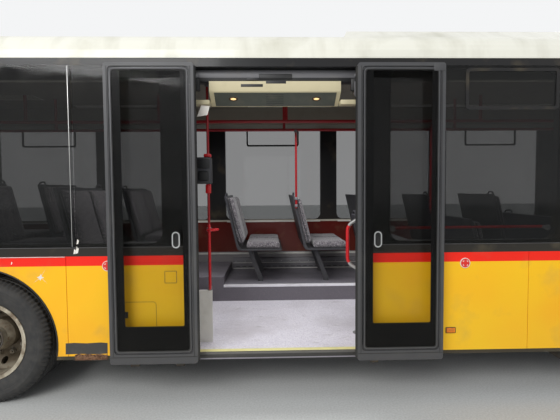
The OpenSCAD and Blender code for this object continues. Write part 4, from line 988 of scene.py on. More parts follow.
form = bmesh.new()
for side, x, z in SEAT_PAIRS:
    sign = -1 if side else 1
    y = sign * 300
    top = z + seat_rise + 500
    path = [(x - 206, y, top - 40), (x - 212, y, top - 5), (x - 206, y + sign * 8, top + 22),
            (x - 204, y + sign * 30, top + 34), (x - 204, y + sign * 90, top + 36),
            (x - 204, y + sign * 112, top + 24), (x - 208, y + sign * 120, top)]
    tube(form, path, 9, 10)
placed(form, "seat_handles", seat_shell)
print("handles on", len(SEAT_PAIRS), "backs")

# %% [markdown]
# The floor's edges carry pale nosings, pressed out of ribbed white PVC, so that a step can be seen.
# Each is a strip on the upright face and one on the tread.

# %% Nosings
podium_x0, podium_x1, podium_y, podium_z = -962.5, 2680, 209, 563
STEPS_UP = ((-1100, 522), (-1375, 654))       # where a step starts, and its height
lining = 1215                                 # the inner face of the walls
nosing = grained("white ribbed PVC nosing", "#E9E7EC", 0.45, 2.0, 0.05, "#8F8A8C", 0.3)
form = bmesh.new()
slab(form, (podium_x0, podium_y - 3.5, podium_z - 22), (podium_x1, podium_y, podium_z + 3), 1.2)
slab(form, (podium_x0, podium_y - 1, podium_z), (podium_x1, podium_y + 34, podium_z + 3), 1.2)
for x, z in STEPS_UP:
    slab(form, (x, -lining, z - 20), (x + 3.5, podium_y, z + 3), 1.2)
    slab(form, (x - 34, -lining, z), (x + 1, podium_y, z + 3), 1.2)
placed(form, "step_nosings", nosing)
print("nosings on the podium and on", len(STEPS_UP), "steps")

# %% [markdown]
# Along the walls run a pale plastic trim and, between the pillars, a window sill. The heater's
# casing stands on the podium under the windows, with a slanted top and a row of slots.

# %% Wall trims and the heater casing
wall_trim = grained("pale wall trim", "#DEDCD6", 0.4, 2.0, 0.02, "#8C8676", 0.25)
form = bmesh.new()
for x0, x1 in ((-2000, -600), (-598, 850), (852, 2660)):
    slab(form, (x0, lining - 5, 750), (x1, lining + 1, 774), 2)
for x0, x1 in ((-5600, -4178), (-3948, -2712), (-2482, -1248), (-1017, 220), (450, 1684),
               (1915, 3148)):
    slab(form, (x0, lining - 9, 1177), (x1, lining + 1, 1196), 3)
placed(form, "left_wall_trims", wall_trim)
form = bmesh.new()
for x0, x1 in ((-5600, -4178), (-3948, -2712), (-2482, -1250), (450, 1684), (1915, 3148)):
    slab(form, (x0, -lining - 1, 1177), (x1, 9 - lining, 1196), 3)
for x0, x1 in ((230, 2660), (-1990, -1250), (-3900, -3180)):
    slab(form, (x0, -lining - 1, 750), (x1, 5 - lining, 774), 2)
placed(form, "right_wall_trims", wall_trim)

heater_paint = grained("heater casing enamel", "#77757A", 0.4, 2.0, 0.03, "#5F5B57", 0.35)
form = bmesh.new()
push(form, [(1214, podium_z + 2), (1176, podium_z + 2), (1172, podium_z + 10), (1172, 680),
            (1184, 704), (1214, 710)], "x", podium_x0 + 20, podium_x1 - 20)
placed(form, "heater_casing", heater_paint)
form = bmesh.new()
slab(form, (podium_x0 + 24, 1168, 640), (podium_x1 - 24, 1173, 646), 1)
slab(form, (podium_x0 + 24, 1169, podium_z + 3), (podium_x1 - 24, 1173, podium_z + 12), 1)
placed(form, "heater_trim", wall_trim)
print("the heater casing is", podium_x1 - podium_x0 - 40, "mm long")

# %% [markdown]
# Ribs and slots repeat, so Geometry Nodes set them out: a line of points with a given count and
# pitch, and the drawn master on every point. The tree is the same for slots, screws, nuts and
# bolts, so one function builds it, and the modifier's named inputs carry the sizes.

# %% Repeats on a line or a circle
def repeat_tree():
    """Points on a line or on a circle, and the master on each of them."""
    tree = bpy.data.node_groups.new("repeat_master", "GeometryNodeTree")
    face = tree.interface
    for name, kind in (("Geometry", "NodeSocketGeometry"), ("Count", "NodeSocketInt"),
                       ("Start", "NodeSocketVector"), ("Pitch", "NodeSocketVector"),
                       ("Turn", "NodeSocketVector"), ("Finish", "NodeSocketMaterial")):
        face.new_socket(name, in_out="INPUT", socket_type=kind)
    face.new_socket("Geometry", in_out="OUTPUT", socket_type="NodeSocketGeometry")
    given = add(tree, "NodeGroupInput").outputs
    line = add(tree, "GeometryNodeMeshLine",
               {"Count": given["Count"], "Start Location": given["Start"],
                "Offset": given["Pitch"]}, mode="OFFSET")
    number = add(tree, "GeometryNodeInputIndex")
    turn = add(tree, "ShaderNodeVectorMath", {0: given["Turn"]}, operation="SCALE")
    tree.links.new(number.outputs["Index"], turn.inputs["Scale"])
    spread = add(tree, "GeometryNodeInstanceOnPoints",
                 {"Points": line.outputs["Mesh"], "Instance": given["Geometry"]})
    fanned = add(tree, "GeometryNodeRotateInstances",
                 {"Instances": spread.outputs["Instances"], "Rotation": turn.outputs["Vector"],
                  "Pivot Point": (0, 0, 0), "Local Space": False})
    real = add(tree, "GeometryNodeRealizeInstances", {"Geometry": fanned.outputs["Instances"]})
    coated = add(tree, "GeometryNodeSetMaterial",
                 {"Geometry": real.outputs["Geometry"], "Material": given["Finish"]})
    last = add(tree, "NodeGroupOutput")
    tree.links.new(coated.outputs["Geometry"], last.inputs["Geometry"])
    return tree


repeats = repeat_tree()


def repeated(form, name, look, count, start=(0, 0, 0), pitch=(0, 0, 0), turn=(0, 0, 0),
             centre=(0, 0, 0), body="vehicle"):
    """The drawn master, count times: a step apart, or turned about the centre, in radians."""
    made = placed(form, name, look, body)
    layout = made.modifiers.new("repeat", "NODES")
    layout.node_group = repeats
    sizes = {"Count": count, "Start": [v / 1000 for v in start], "Pitch": [v / 1000 for v in pitch],
             "Turn": turn, "Finish": look}
    for socket in repeats.interface.items_tree:
        if socket.in_out == "INPUT" and socket.name in sizes:
            layout[socket.identifier] = sizes[socket.name]
    bake(made)
    made.data.transform(Matrix.Translation(Vector(centre) / 1000))
    return made


# the heater casing's slots and screws, along the podium
form = bmesh.new()
slab(form, (-26, 1169.5, 590), (26, 1173.5, 597), 2)
repeated(form, "heater_slots", rubber, 44, (podium_x0 + 90, 0, 0), (80, 0, 0))
form = bmesh.new()
turned(form, [(0, 0), (-2.4, 0), (-2.4, 3), (-1, 5), (0, 5)], (0, 1171.5, 665), "y", 10)
repeated(form, "heater_screws", alloy, 30, (podium_x0 + 60, 0, 0), (120, 0, 0))
print("slots and screws use the tree", repeats.name)

# %% [markdown]
# Poles and rails are steel tube in red powder coat. The long ones are in the CAD. Here come the
# bent grab rail beside the doorway, the hoop and the bar on the pole, and the rails that guard the
# windows, with the pale cast fittings that hold them to the wall.

# %% Grab rails
pale_casting = grained("pale cast fitting", "#A9A8A6", 0.4, 1.5, 0.03, "#6F6D68", 0.25,
                       metallic=0.5)
pole_x, pole_y = mid_x0 + 92, -1025
guard_z = 1300
GUARDS = ((470, 1660), (1935, 3120))          # from and to, under the right side's panes
form = bmesh.new()
tube(form, [(146, -1190, 1322), (137, -1188, 1308), (134, -1188, 1290), (134, -1188, 1078),
            (137, -1188, 1060), (146, -1190, 1048)], 13, 16)
for x0, x1 in GUARDS:
    tube(form, [(x0, -1160, guard_z), (x0 + 20, -1158, guard_z), (x1 - 20, -1158, guard_z + 2),
                (x1, -1160, guard_z + 2)], 11, 14)
hoop = [(-6, -6, 1288), (-4, -66, 1290), (22, -92, 1292), (62, -84, 1294), (76, -50, 1294),
        (52, -16, 1292), (4, 2, 1290)]
bar = [(0, 0, 812), (4, -20, 826), (5, -24, 850), (5, -24, 1290), (4, -20, 1310), (0, 0, 1325)]
for path, radius in ((hoop, 9), (bar, 11)):
    tube(form, [(pole_x + x, pole_y + y, z) for x, y, z in path], radius, 14)
placed(form, "grab_rails", red_coat)

form = bmesh.new()
for z, down in ((1325, 1), (1045, -1)):
    tube(form, [(144, -1190, z), (156, -1194, z + down * 16), (190, -1204, z + down * 40),
                (232, -1213, z + down * 52)], 12, 14)
for ends in GUARDS:
    for x in ends:
        turned(form, [(0, 0), (56, 0), (56, 12), (12, 13), (6, 22), (0, 24)], (x, -1215, guard_z),
               "y", 20)
placed(form, "grab_rail_ends", pale_casting)

form = bmesh.new()
for z in (1290, 822, 2420):
    turned(form, [(-16, 11), (-16, 17), (-13, 19), (13, 19), (16, 17), (16, 11)],
           (pole_x, pole_y, z), "z", 20)
for foot in ((mid_x1 + 60, -880, 392), (3870, -560, 392)):
    turned(form, [(0, 17), (0, 44), (5, 46), (9, 40), (13, 21), (13, 17)], foot, "z", 28)
placed(form, "pole_clamps", grey_rail)
print("the pole by the doorway stands at X =", round(pole_x, 1))

# %% [markdown]
# The ticket reader stands on its pole in a moulded case with a bezel, a blank dark screen and a
# reading pad. It replaces the plain block. The blank card beside the header is PVC sheet.

# %% Ticket reader and card
low, high = [corner * 1000 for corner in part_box("ticket_validator")]
case_plastic = grained("dark grey reader case", "#37373B", 0.45, 1.2, 0.05)
form = bmesh.new()
slab(form, low, high, 11, 3)
reader = placed(form, "reader_case", case_plastic)
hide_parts("ticket_validator")
form = bmesh.new()
slab(form, (low.x + 12, low.y - 4, low.z + 118), (high.x - 12, low.y + 3, high.z - 16), 5)
slab(form, (low.x + 22, low.y - 5, low.z + 24), (high.x - 22, low.y + 3, low.z + 96), 8, 3)
placed(form, "reader_face", black_plastic)
form = bmesh.new()
slab(form, (pole_x - 20, pole_y - 24, low.z - 74), (pole_x + 20, pole_y + 12, low.z - 2), 6)
slab(form, (pole_x - 30, pole_y - 34, high.z + 2), (pole_x + 26, pole_y + 10, high.z + 30), 8)
placed(form, "reader_bracket", red_coat)
form = bmesh.new()
push(form, [(-984, 2141), (-952, 2223), (-890, 2218), (-907, 2154)], "y", -1217, -1214.5)
placed(form, "blank_card", white_print)
print("the reader is", [round(v) for v in high - low], "mm")

# %% [markdown]
# Two warm downlights glow in the header's slanted underside, each a small opal lens in a brown
# ring. They are drawn level, squeezed a little and then tilted onto the slope. The low ceiling has
# long diffusers down both sides, whose ribs are 8 mm apart.

# %% Lamps inside
warm_lens, tree, shader, place = finish("opal lamp polycarbonate", "#FFE3B0", 0.4)
shader.inputs["Emission Color"].default_value = linear("#FFD48A")
shader.inputs["Emission Strength"].default_value = 0.9
lamp_bronze = grained("brown anodised ring", "#4A3520", 0.35, 1.0, 0.01, "#2F261A", 0.2,
                      metallic=0.7)
slope = Matrix.Rotation(math.radians(-32.6), 4, "X") @ Matrix.Diagonal((1, 0.55, 1, 1))
for i, x in enumerate((-721, -95)):
    on_slope = Matrix.Translation((x, -1150, 2284)) @ slope
    for name, look, profile in (
            ("downlight", warm_lens, [(-3, 0), (-3, 14), (0, 24), (5, 24), (5, 0)]),
            ("downlight_ring", lamp_bronze, [(-4, 24), (-4, 33), (1, 36), (4, 31), (4, 24)])):
        form = bmesh.new()
        turned(form, profile, (0, 0, 0), "z", 28)
        form.transform(on_slope)
        placed(form, f"{name}_{i}", look)

diffuser, tree, shader, place = finish("ribbed lamp diffuser", "#F2F1EA", 0.45)
ribs = add(tree, "ShaderNodeTexWave", {"Vector": place, "Scale": 1000 / 8}, bands_direction="Y")
raised(tree, shader, ribs.outputs["Fac"], 0.6)
yellowed = tinted(tree, blotches(tree, place, 90, 0.45, 0.8), linear("#F2F1EA"), linear("#D8D4C4"))
tree.links.new(yellowed, shader.inputs["Base Color"])
form = bmesh.new()
for sign in (1, -1):
    for x0, x1 in ((-4300, -3900), (-2700, -1500), (-700, 300), (600, 2900)):
        slab(form, (x0, sign * 640 - 55, 2581), (x1, sign * 640 + 55, 2590.5), 6)
placed(form, "ceiling_diffusers", diffuser)
print("lamps inside made")

# %% [markdown]
# City bus tyres have a solid ribbed tread: five ribs between four zigzag grooves, with narrow
# sipes across them, and a thick scrub band on the sidewall. The tyre is one profile turned round
# the axle. Points of the tread that fall in a groove or a sipe are turned on a smaller radius, so
# the pattern needs no cutting. The road has greyed the rubber.

# %% Tread and section of a tyre
rim_r = 287
tread_r = tyre_r * 1000
wheel_y = outer_wheel_y * 1000        # the middle of an outer tyre
twin_pitch = 320                      # from an outer rear tyre to the inner one
hub_z = wheel_z * 1000
front_x, rear_x = front_axle_x * 1000, rear_axle_x * 1000
TREAD_STEPS = 168
GROOVES = (-58, -20, 20, 58)
GROOVE_DEPTH, NOTCH_DEPTH, SIPE_DEPTH = 13, 8, 4


def tread_depth(across, step):
    """How deep the tread is cut at a place across it, at a step round it."""
    sway = 5 * (1 if (step // 2) % 2 else -1)
    for groove in GROOVES:
        if abs(across - groove - sway * (abs(groove) < 30)) < 5.5:
            return GROOVE_DEPTH
    if step % 2 == 0 and 62 < abs(across) < 128:
        return NOTCH_DEPTH
    if step % 7 == 3 and abs(across) < 52:
        return SIPE_DEPTH
    return 0


def tyre_profile():
    """Half of the section: the outside from the tread's middle to the bead, and the inside back."""
    crown = [float(a) for a in range(0, 97, 4)]
    outer = [(a, tread_r - 0.0004 * a * a - (2.5 if a > 92 else 0)) for a in crown]
    outer += [(103, tread_r - 12), (115, tread_r - 22), (126, tread_r - 36),
              (133, tread_r - 52), (137.2, tread_r - 70), (136.0, tread_r - 74),
              (136.4, tread_r - 92), (134, tread_r - 96), (134.5, tread_r - 112),
              (130, rim_r + 62), (127, rim_r + 46), (125, rim_r + 42),
              (119, rim_r + 27), (109, rim_r + 14), (99, rim_r + 14.5)]
    inner = [(70, rim_r + 14.5), (72, rim_r + 60), (86, tread_r - 40), (60, tread_r - 31),
             (0, tread_r - 30)]
    return outer, inner


print("tread:", len(GROOVES), "grooves in", TREAD_STEPS, "steps")

# %% [markdown]
# The section is turned about the axle in as many steps as the tread has. A rear twin is two tyres
# on one body, 320 mm apart. Each tread stands for the plain CAD tyre.

# %% Tyres turned about their axles
def tyre(form, centre_y, axle_x):
    """One tyre with its tread, turned about its axle."""
    outer, inner = tyre_profile()
    half = outer + inner
    section = half + [(-a, r) for a, r in reversed(half[1:-1])]
    rings = []
    for a, r in section:
        on_tread = r > tread_r - 40
        ring = []
        for k in range(TREAD_STEPS):
            radius = r - (tread_depth(a, k) if on_tread else 0)
            angle = math.tau * k / TREAD_STEPS
            ring.append(form.verts.new((axle_x + radius * math.cos(angle), centre_y + a,
                                        hub_z + radius * math.sin(angle))))
        rings.append(ring)
    for i, one in enumerate(rings):
        two = rings[(i + 1) % len(rings)]
        for k in range(TREAD_STEPS):
            j = (k + 1) % TREAD_STEPS
            form.faces.new((one[k], one[j], two[j], two[k]))


TYRES = [("tyre_front_left", "front_wheel_left", front_x, (wheel_y,)),
         ("tyre_front_right", "front_wheel_right", front_x, (-wheel_y,)),
         ("tyres_rear_left", "rear_wheels_left", rear_x, (wheel_y, wheel_y - twin_pitch)),
         ("tyres_rear_right", "rear_wheels_right", rear_x, (-wheel_y, twin_pitch - wheel_y))]
for node, body, axle_x, places in TYRES:
    form = bmesh.new()
    for y in places:
        tyre(form, y, axle_x)
    made = placed(form, node + "_tread", tyre_rubber, body, 28)
    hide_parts(node)
print("tyres made:", [row[0] for row in TYRES])

# %% [markdown]
# Ten nuts with washers hold each wheel, on a circle of 335 mm. One nut is drawn, and the repeat
# tree turns it round the axle. Each wheel also has its hub cap, its bolts and its valve. A wheel's
# row gives its body, axle, the face of its disc, which way is out, the end of its hub and the
# hub's radius.

# %% Wheel nuts, hubs and valves
nut_steel = grained("zinc-plated nut steel", "#8F8A80", 0.45, 2.0, 0.05, "#6B5636", 0.7,
                    metallic=0.7, worn="#6B4526")
hub_enamel = grained("hub enamel", "#5C5A57", 0.55, 2.0, 0.1, "#6B5636", 0.7, worn="#5B3B25")
nut_circle_r, nut_count, bolt_count = 167.5, 10, 8
WHEELS = [("front_left", "front_wheel_left", front_x, wheel_y + 40, 1, wheel_y + 82, 82),
          ("front_right", "front_wheel_right", front_x, -wheel_y - 40, -1, -wheel_y - 82, 82),
          ("rear_left", "rear_wheels_left", rear_x, wheel_y - 144, 1, wheel_y + 62, 90),
          ("rear_right", "rear_wheels_right", rear_x, 144 - wheel_y, -1, -wheel_y - 62, 90)]
for name, body, axle_x, disc, out, hub, hub_r in WHEELS:
    axle = (axle_x, 0, hub_z)
    form = bmesh.new()
    turned(form, [(0, 0), (out * 6, 0), (out * 6, 20), (out * 1, 23), (0, 23)],
           (nut_circle_r, disc, 0), "y", 18)
    push(form, circle(nut_circle_r, 0, 18.5, 6), "y", disc + out * 5, disc + out * 27)
    turned(form, [(0, 0), (out * 12, 0), (out * 12, 8), (0, 10)],
           (nut_circle_r, disc + out * 26, 0), "y", 12)
    repeated(form, f"nuts_{name}", nut_steel, nut_count, turn=(0, math.tau / nut_count, 0),
             centre=axle, body=body)

    form = bmesh.new()
    turned(form, [(0, 0), (0, hub_r - 18), (out * 4, hub_r - 14), (out * 14, hub_r - 20),
                  (out * 20, hub_r - 40), (out * 21, 0)], (axle_x, hub - out * 2, hub_z), "y", 36)
    turned(form, [(0, hub_r - 10), (0, hub_r + 5), (out * -10, hub_r + 8),
                  (out * -16, hub_r + 1), (out * -16, hub_r - 4)], (axle_x, hub, hub_z), "y", 36)
    placed(form, f"hub_cap_{name}", hub_enamel, body)

    form = bmesh.new()
    turned(form, [(0, 0), (out * 8, 0), (out * 8, 6), (0, 7.5)], (hub_r - 10, hub, 0), "y", 6)
    repeated(form, f"hub_bolts_{name}", nut_steel, bolt_count,
             turn=(0, math.tau / bolt_count, 0), centre=axle, body=body)

    form = bmesh.new()
    tube(form, [(axle_x + 252, disc + out * 8, hub_z + 40),
                (axle_x + 256, disc + out * 34, hub_z + 41),
                (axle_x + 258, disc + out * 60, hub_z + 42)], 4.5, 10)
    placed(form, f"valve_{name}", rubber, body)
print("wheels dressed:", [row[0] for row in WHEELS])

# %% [markdown]
# Age shows on the right side: the sill has rusted through its paint beside the doorway, a black
# patch has been taped over a dent, and a stone has starred the paint behind the rear doorway leaf.
# The chips are thin flakes of bare filler lifted a fraction of a millimetre off the enamel.

# %% Rust, tape and chips
rust_flake, tree, shader, place = finish("flaked rust", "#6A3E20", 0.9)
rust_mask = blotches(tree, place, 14, 0.42, 0.6, 8.0)
rusty = tinted(tree, rust_mask, linear("#4E3320"), linear("#7D5B42"))
tree.links.new(rusty, shader.inputs["Base Color"])
raised(tree, shader, rust_mask, 1.2)
filler = grained("bare body filler", "#E9E4DA", 0.7, 2.0, 0.2, "#8C8676", 0.3)
tape = grained("black cloth tape", "#2B2A2B", 0.6, 1.5, 0.15, "#6E6A60", 0.4)
STAR = [(-2154, 975), (-2137, 967), (-2128, 951), (-2120, 969), (-2100, 972), (-2118, 981),
        (-2123, 1001), (-2132, 984)]
CRACKS = ((-2128, 973, -2090, 1033), (-2128, 973, -2184, 931), (-2123, 973, -2076, 926))
CHIPS = ((-1852, 1232, 9), (-1858, 1170, 13), (-1876, 1160, 9), (-2330, 1081, 5),
         (-2420, 1082, 4))                    # X, Z and size


def flake(form, points, y, thick=0.7):
    """A thin chip with an uneven outline that stands off the side."""
    push(form, points, "y", y - thick, y + 0.6)


form = bmesh.new()
flake(form, [(-1897, 356), (-1896, 396), (-1870, 404), (-1836, 398), (-1800, 403), (-1762, 396),
             (-1716, 401), (-1676, 394), (-1658, 397), (-1657, 357)], skin_y - 0.2, 1.6)
placed(form, "sill_rust", rust_flake)
form = bmesh.new()
flake(form, [(-1963, 402), (-1961, 484), (-1900, 487), (-1810, 482), (-1706, 487), (-1657, 482),
             (-1658, 403), (-1750, 400), (-1860, 404)], skin_y - 0.1, 0.9)
placed(form, "sill_tape", tape)
form = bmesh.new()
flake(form, STAR, skin_y - 0.1)
for x0, z0, x1, z1 in CRACKS:
    across = Vector((z1 - z0, 0, x0 - x1)).normalized() * 1.3
    flake(form, [(x0 - across.x, z0 - across.z), (x0 + across.x, z0 + across.z), (x1, z1)],
          skin_y - 0.1, 0.5)
for x, z, r in CHIPS:
    flake(form, [(x - r, z - 2 * r), (x + 0.4 * r, z - 1.6 * r), (x + r, z + r),
                 (x - 0.3 * r, z + 2.2 * r)], skin_y - 0.1, 0.5)
placed(form, "paint_chips", filler)
print("chips in the paint:", 1 + len(CRACKS) + len(CHIPS))

# %% [markdown]
# The wheel arches have a rubber lip, and the service flaps have small black latches with a slot.
# The latches sit at uneven places, so each is drawn where it is.

# %% Arch lips and latches
arch_r, arch_steps = 566, 44
form = bmesh.new()
for axle_x in (front_x, rear_x):
    for side in (1, -1):
        turns = [math.radians(-9 + 198 * i / arch_steps) for i in range(arch_steps + 1)]
        tube(form, [(axle_x + arch_r * math.cos(turn), side * 1276, hub_z + arch_r * math.sin(turn))
                    for turn in turns], 5.5, 8)
placed(form, "arch_lips", rubber)

# X and Z of each latch, and its side: -1 right, 1 left
LATCHES = [(-1518, 688, -1), (2075, 840, -1), (2375, 840, -1), (-3885, 840, -1), (-3585, 840, -1),
           (2075, 840, 1), (2375, 840, 1), (-935, 840, 1), (-635, 840, 1)]
form = bmesh.new()
for x, z, side in LATCHES:
    for half_x, half_z, inner, outer, edge in ((17, 24, -1, 5, 3), (9, 4, 4, 7, 1.2)):
        near, far = sorted(side * (1275 + depth) for depth in (inner, outer))
        slab(form, (x - half_x, near, z - half_z), (x + half_x, far, z + half_z), edge)
placed(form, "flap_latches", black_plastic)
print("latches:", len(LATCHES))

# %% [markdown]
# The drive of the sliding doors sits above the doorway, in full view: a black housing, a zinc rail
# with its motor, and the beige cover with a slanted underside and slots. The slope starts under the
# cover's front edge and rises towards the doorway, so that the lamps in it light the step.

# %% Door drive and its cover
cover_x0, cover_x1, header_y = mid_x0 + 134, mid_x1 - 142, -1213
slope_start, slope_fall = (-1204, 2317.5), 0.636
form = bmesh.new()
slab(form, (mid_x0 - 15, -1195, 2400), (mid_x1 + 15, -1110, 2500), 2)
slab(form, (mid_x0 - 15, -1215, 2500), (mid_x1 + 15, -1100, 2590), 2)
for low, high in (((4020, -1215, 2500), (5195, -1080, 2590)),
                  ((5195, -1215, 2500), (5330, -1080, 2550)),
                  ((5330, -1185, 2500), (5366, -1080, 2550))):
    slab(form, low, high, 2)
placed(form, "drive_housing", black_plastic)

form = bmesh.new()
push(form, [(-1213, 2400), (-1213, 2330), (-1209, 2323), (-1079, 2240), (-1075, 2242),
            (-1075, 2400)], "x", cover_x0, cover_x1)
for x0, x1 in ((mid_x0, cover_x0), (cover_x1, mid_x1)):
    slab(form, (x0, -1200, 2233), (x1, -1112, 2268), 4)
cover = placed(form, "drive_cover", beige_plastic)
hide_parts("door_drives")
# the underside is the cover's own beige plastic; its grey-green colour is painted shade, for a face
# that looks down and away from the light
form = bmesh.new()
push(form, [slope_start, (-1086, 2242.4), (-1085, 2244), (-1203, 2319.1)],
     "x", cover_x0 + 34, cover_x1 - 30)
placed(form, "cover_underside", grained("beige underside in painted shade", "#4D5148", 0.5, 2.0, 0.03))

form = bmesh.new()
slab(form, (mid_x0 + 368, header_y - 1.2, 2358), (mid_x0 + 530, header_y + 3, 2379), 1)
slab(form, (mid_x0 + 553, header_y - 1.2, 2382), (mid_x0 + 701, header_y + 3, 2401), 1)
slab(form, (mid_x0 + 502, -1207, 2419), (mid_x0 + 746, -1193, 2455), 4)
slab(form, (mid_x0 + 410, -1203, 2408), (mid_x0 + 502, -1193, 2428), 4)
for x in (mid_x0 + 30, mid_x1 - 30):
    slab(form, (x - 36, -1206, 2330), (x + 36, -1180, 2425), 8)
for i in range(6):
    y = -1190 + i * 19
    z = slope_start[1] - (y - slope_start[0]) * slope_fall
    slab(form, (mid_x0 + 552, y, z - 3), (mid_x0 + 684, y + 9, z + 1), 1)
placed(form, "drive_motor_and_slots", black_plastic)

form = bmesh.new()
slab(form, (mid_x0 - 12, -1199, 2428), (mid_x1 + 12, -1194, 2482), 2)
slab(form, (mid_x0 - 12, -1216, 2509), (mid_x1 + 12, -1212, 2514), 1)
for x in (mid_x0 + 18, mid_x1 - 40):
    slab(form, (x, -1208, 2290), (x + 9, -1200, 2400), 2)
    turned(form, [(0, 0), (-9, 0), (-9, 16), (-6, 20), (0, 20)], (x + 20, -1197, 2446), "y", 16)
placed(form, "drive_rail", grained("dull zinc rail", "#6B6A6D", 0.42, 2.0, 0.05))
print("the cover is", round(cover_x1 - cover_x0), "mm wide")

# %% [markdown]
# Three poles rise from seat backs to the ceiling rails. The seats hang in moulded shells on legs
# that lean back under the pan. A shell's section is drawn once and pushed across each pair. The
# shells replace plainer solids of the same size.

# %% Seat poles, shells and legs
POLES = ((-160, 272.5, 563), (1336, 272.5, 563), (1130, -272.5, 390))      # X, Y and floor
poles, clamps = bmesh.new(), bmesh.new()
for x, y, base in POLES:
    tube(poles, [(x, y, base + 835), (x, y, 2262)], 12, 16)
    for z in (base + 862, base + 940, 2240):
        turned(clamps, [(-15, 10), (-15, 17), (-12, 19), (12, 19), (15, 17), (15, 10)],
               (x, y, z), "z", 20)
placed(poles, "seat_poles", rail_red)
placed(clamps, "seat_pole_clamps", grey_rail)

SHELL = [(408, 384.5), (-40, 384.5), (-68.4, 425), (-201, 967), (-207, 975), (-216, 975),
         (-222, 968), (-92, 405), (-80, 378), (-52, 366), (400, 365), (410, 372)]
# how far a leg's foot is below the seat's own floor, and how far across the second leg stands
LEGS = {704: (50, 240), 985: (-65, 720)}
PLAIN_LEGS = (0, 720)
form = bmesh.new()
for side, x, base in SEAT_PAIRS:
    flip = 1 - 2 * side
    floor_gap, far_leg = LEGS.get(base, PLAIN_LEGS)
    push(form, [(x + a, base + b) for a, b in SHELL], "y", flip * 285, flip * 1165)
    for y in (120, far_leg):
        foot = base - floor_gap
        push(form, [(x + 20, base + 366), (x + 66, base + 366), (x + 196, foot + 30),
                    (x + 196, foot), (x + 140, foot), (x + 140, foot + 30)],
             "y", flip * (285 + y), flip * (319 + y))
frames = placed(form, "seat_shells_and_legs", seat_shell)
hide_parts("seat_frames")
print("poles:", len(POLES), "and shells:", len(SEAT_PAIRS))

# %% [markdown]
# Flaps and vents show as fine dark seams. On the flat sides a flap's seam is a ring 3 mm wide, and
# the radiator's slots on the left are a row of slabs.

# %% Flap seams and radiator slots
seam_look = grained("dark seam", "#14120C", 0.6, 2.0, 0.02)
# side, then from X to X and from Z to Z
FLAPS = [(-1, -1545, -1294, 573, 785), (-1, 1975, 2475, 500, 860), (-1, -3985, -3485, 500, 860),
         (1, 1975, 2475, 500, 860), (1, -1035, -535, 500, 860)]
form = bmesh.new()
for side, x0, x1, z0, z1 in FLAPS:
    band(form, rounded(x0, z0, x1, z1, 22), rounded(x0 + 3, z0 + 3, x1 - 3, z1 - 3, 19), "y",
         side * 1274, side * 1275.6)
for i in range(12):
    slab(form, (-5340, 1273, 560 + i * 34), (-4700, 1277, 576 + i * 34), 1)
placed(form, "flap_seams", seam_look)
print("flaps:", len(FLAPS))

# %% [markdown]
# The nose is curved both ways, so a flat strip would sink in or stand off. Each strip is laid on
# the surface instead: rays find the skin along its path, and the strip stays a closed solid.

# %% Strips on the curved nose
def skin_of(*names):
    """The outer surface of CAD nodes, in millimetres, for rays."""
    points, faces = [], []
    for name in names:
        mesh, start = cad[name].data, len(points)
        points += [cad[name].matrix_world @ v.co * 1000 for v in mesh.vertices]
        faces += [[start + i for i in face.vertices] for face in mesh.polygons]
    return BVHTree.FromPolygons(points, faces)


nose = skin_of("front_mask", "windscreen", "headlamps")
nose_x, nose_bend = 5975, 6840        # the nose's middle, and twice the radius of its bow in plan


def on_nose(y, z, out):
    """The place on the nose at y and z, so far out of it. Across the open slot the bow holds."""
    hit = nose.ray_cast(Vector((6500, y, z)), Vector((-1, 0, 0)))[0]
    bow_x = nose_x - y * y / nose_bend
    return Vector((hit.x + out if hit and hit.x > bow_x - 400 else bow_x + out, y, z))


def strip(form, path, half, out, inward=3.0):
    """A flat strip along (y, z) points on the nose, so wide to each side and so far out of it."""
    rings = []
    for i, (y, z) in enumerate(path):
        ahead = Vector(path[min(i + 1, len(path) - 1)]) - Vector(path[max(i - 1, 0)])
        across = Vector((-ahead.y, ahead.x)).normalized() * half
        ends = [(y + across.x, z + across.y), (y - across.x, z - across.y)]
        rings.append([form.verts.new(on_nose(a, b, t)) for (a, b), t in
                      zip(ends + ends[::-1], (out, out, -inward, -inward))])
    for one, two in zip(rings, rings[1:]):
        for i in range(4):
            j = (i + 1) % 4
            form.faces.new((one[i], one[j], two[j], two[i]))
    form.faces.new(rings[0][::-1])
    form.faces.new(rings[-1])


def straight(y0, z0, y1, z1, steps=24):
    """A straight path, in steps short enough to follow the bow."""
    return [(y0 + (y1 - y0) * i / steps, z0 + (z1 - z0) * i / steps) for i in range(steps + 1)]


print("the nose reaches X =", round(on_nose(0, 700, 0).x, 1))

# %% [markdown]
# The grille is four dark slots in the bumper, and seams outline the bumper and the flap above it.
# The wipers' arms lie on the windscreen's foot, each on a round hub.

# %% Grille, nose seams and wiper arms
FLAP_HALF, FLAP_FOOT, FLAP_HEAD = 602, 618, 922
form = bmesh.new()
for i in range(4):
    strip(form, straight(-520, 415 + 46 * i, 520, 415 + 46 * i), 13, 1.5)
strip(form, straight(-1180, 617, 1180, 617, 48), 2, 1)
strip(form, straight(-FLAP_HALF, FLAP_HEAD, FLAP_HALF, FLAP_HEAD), 2, 1)
for side in (-1, 1):
    strip(form, straight(side * FLAP_HALF, FLAP_FOOT, side * FLAP_HALF, FLAP_HEAD - 1), 2, 1)
placed(form, "nose_seams_and_grille", seam_look)

form = bmesh.new()
for side in (-1, 1):
    strip(form, straight(side * 420, 975, side * 655, 1050), 13, 12, -6)
    strip(form, straight(side * 380, 1051, side * 940, 1051, 40), 7, 14, -2)
    turned(form, [(-12, 0), (-12, 20), (14, 20), (18, 14), (18, 0)],
           on_nose(side * 420, 975, 0), "x", 20)
placed(form, "wiper_arms", black_plastic)
print("grille and wipers made")

# %% [markdown]
# Each lamp of the nose is a chromed ring with a domed clear glass in it. The number plate stays
# blank: a black rim and a white sheet that follow the bow.

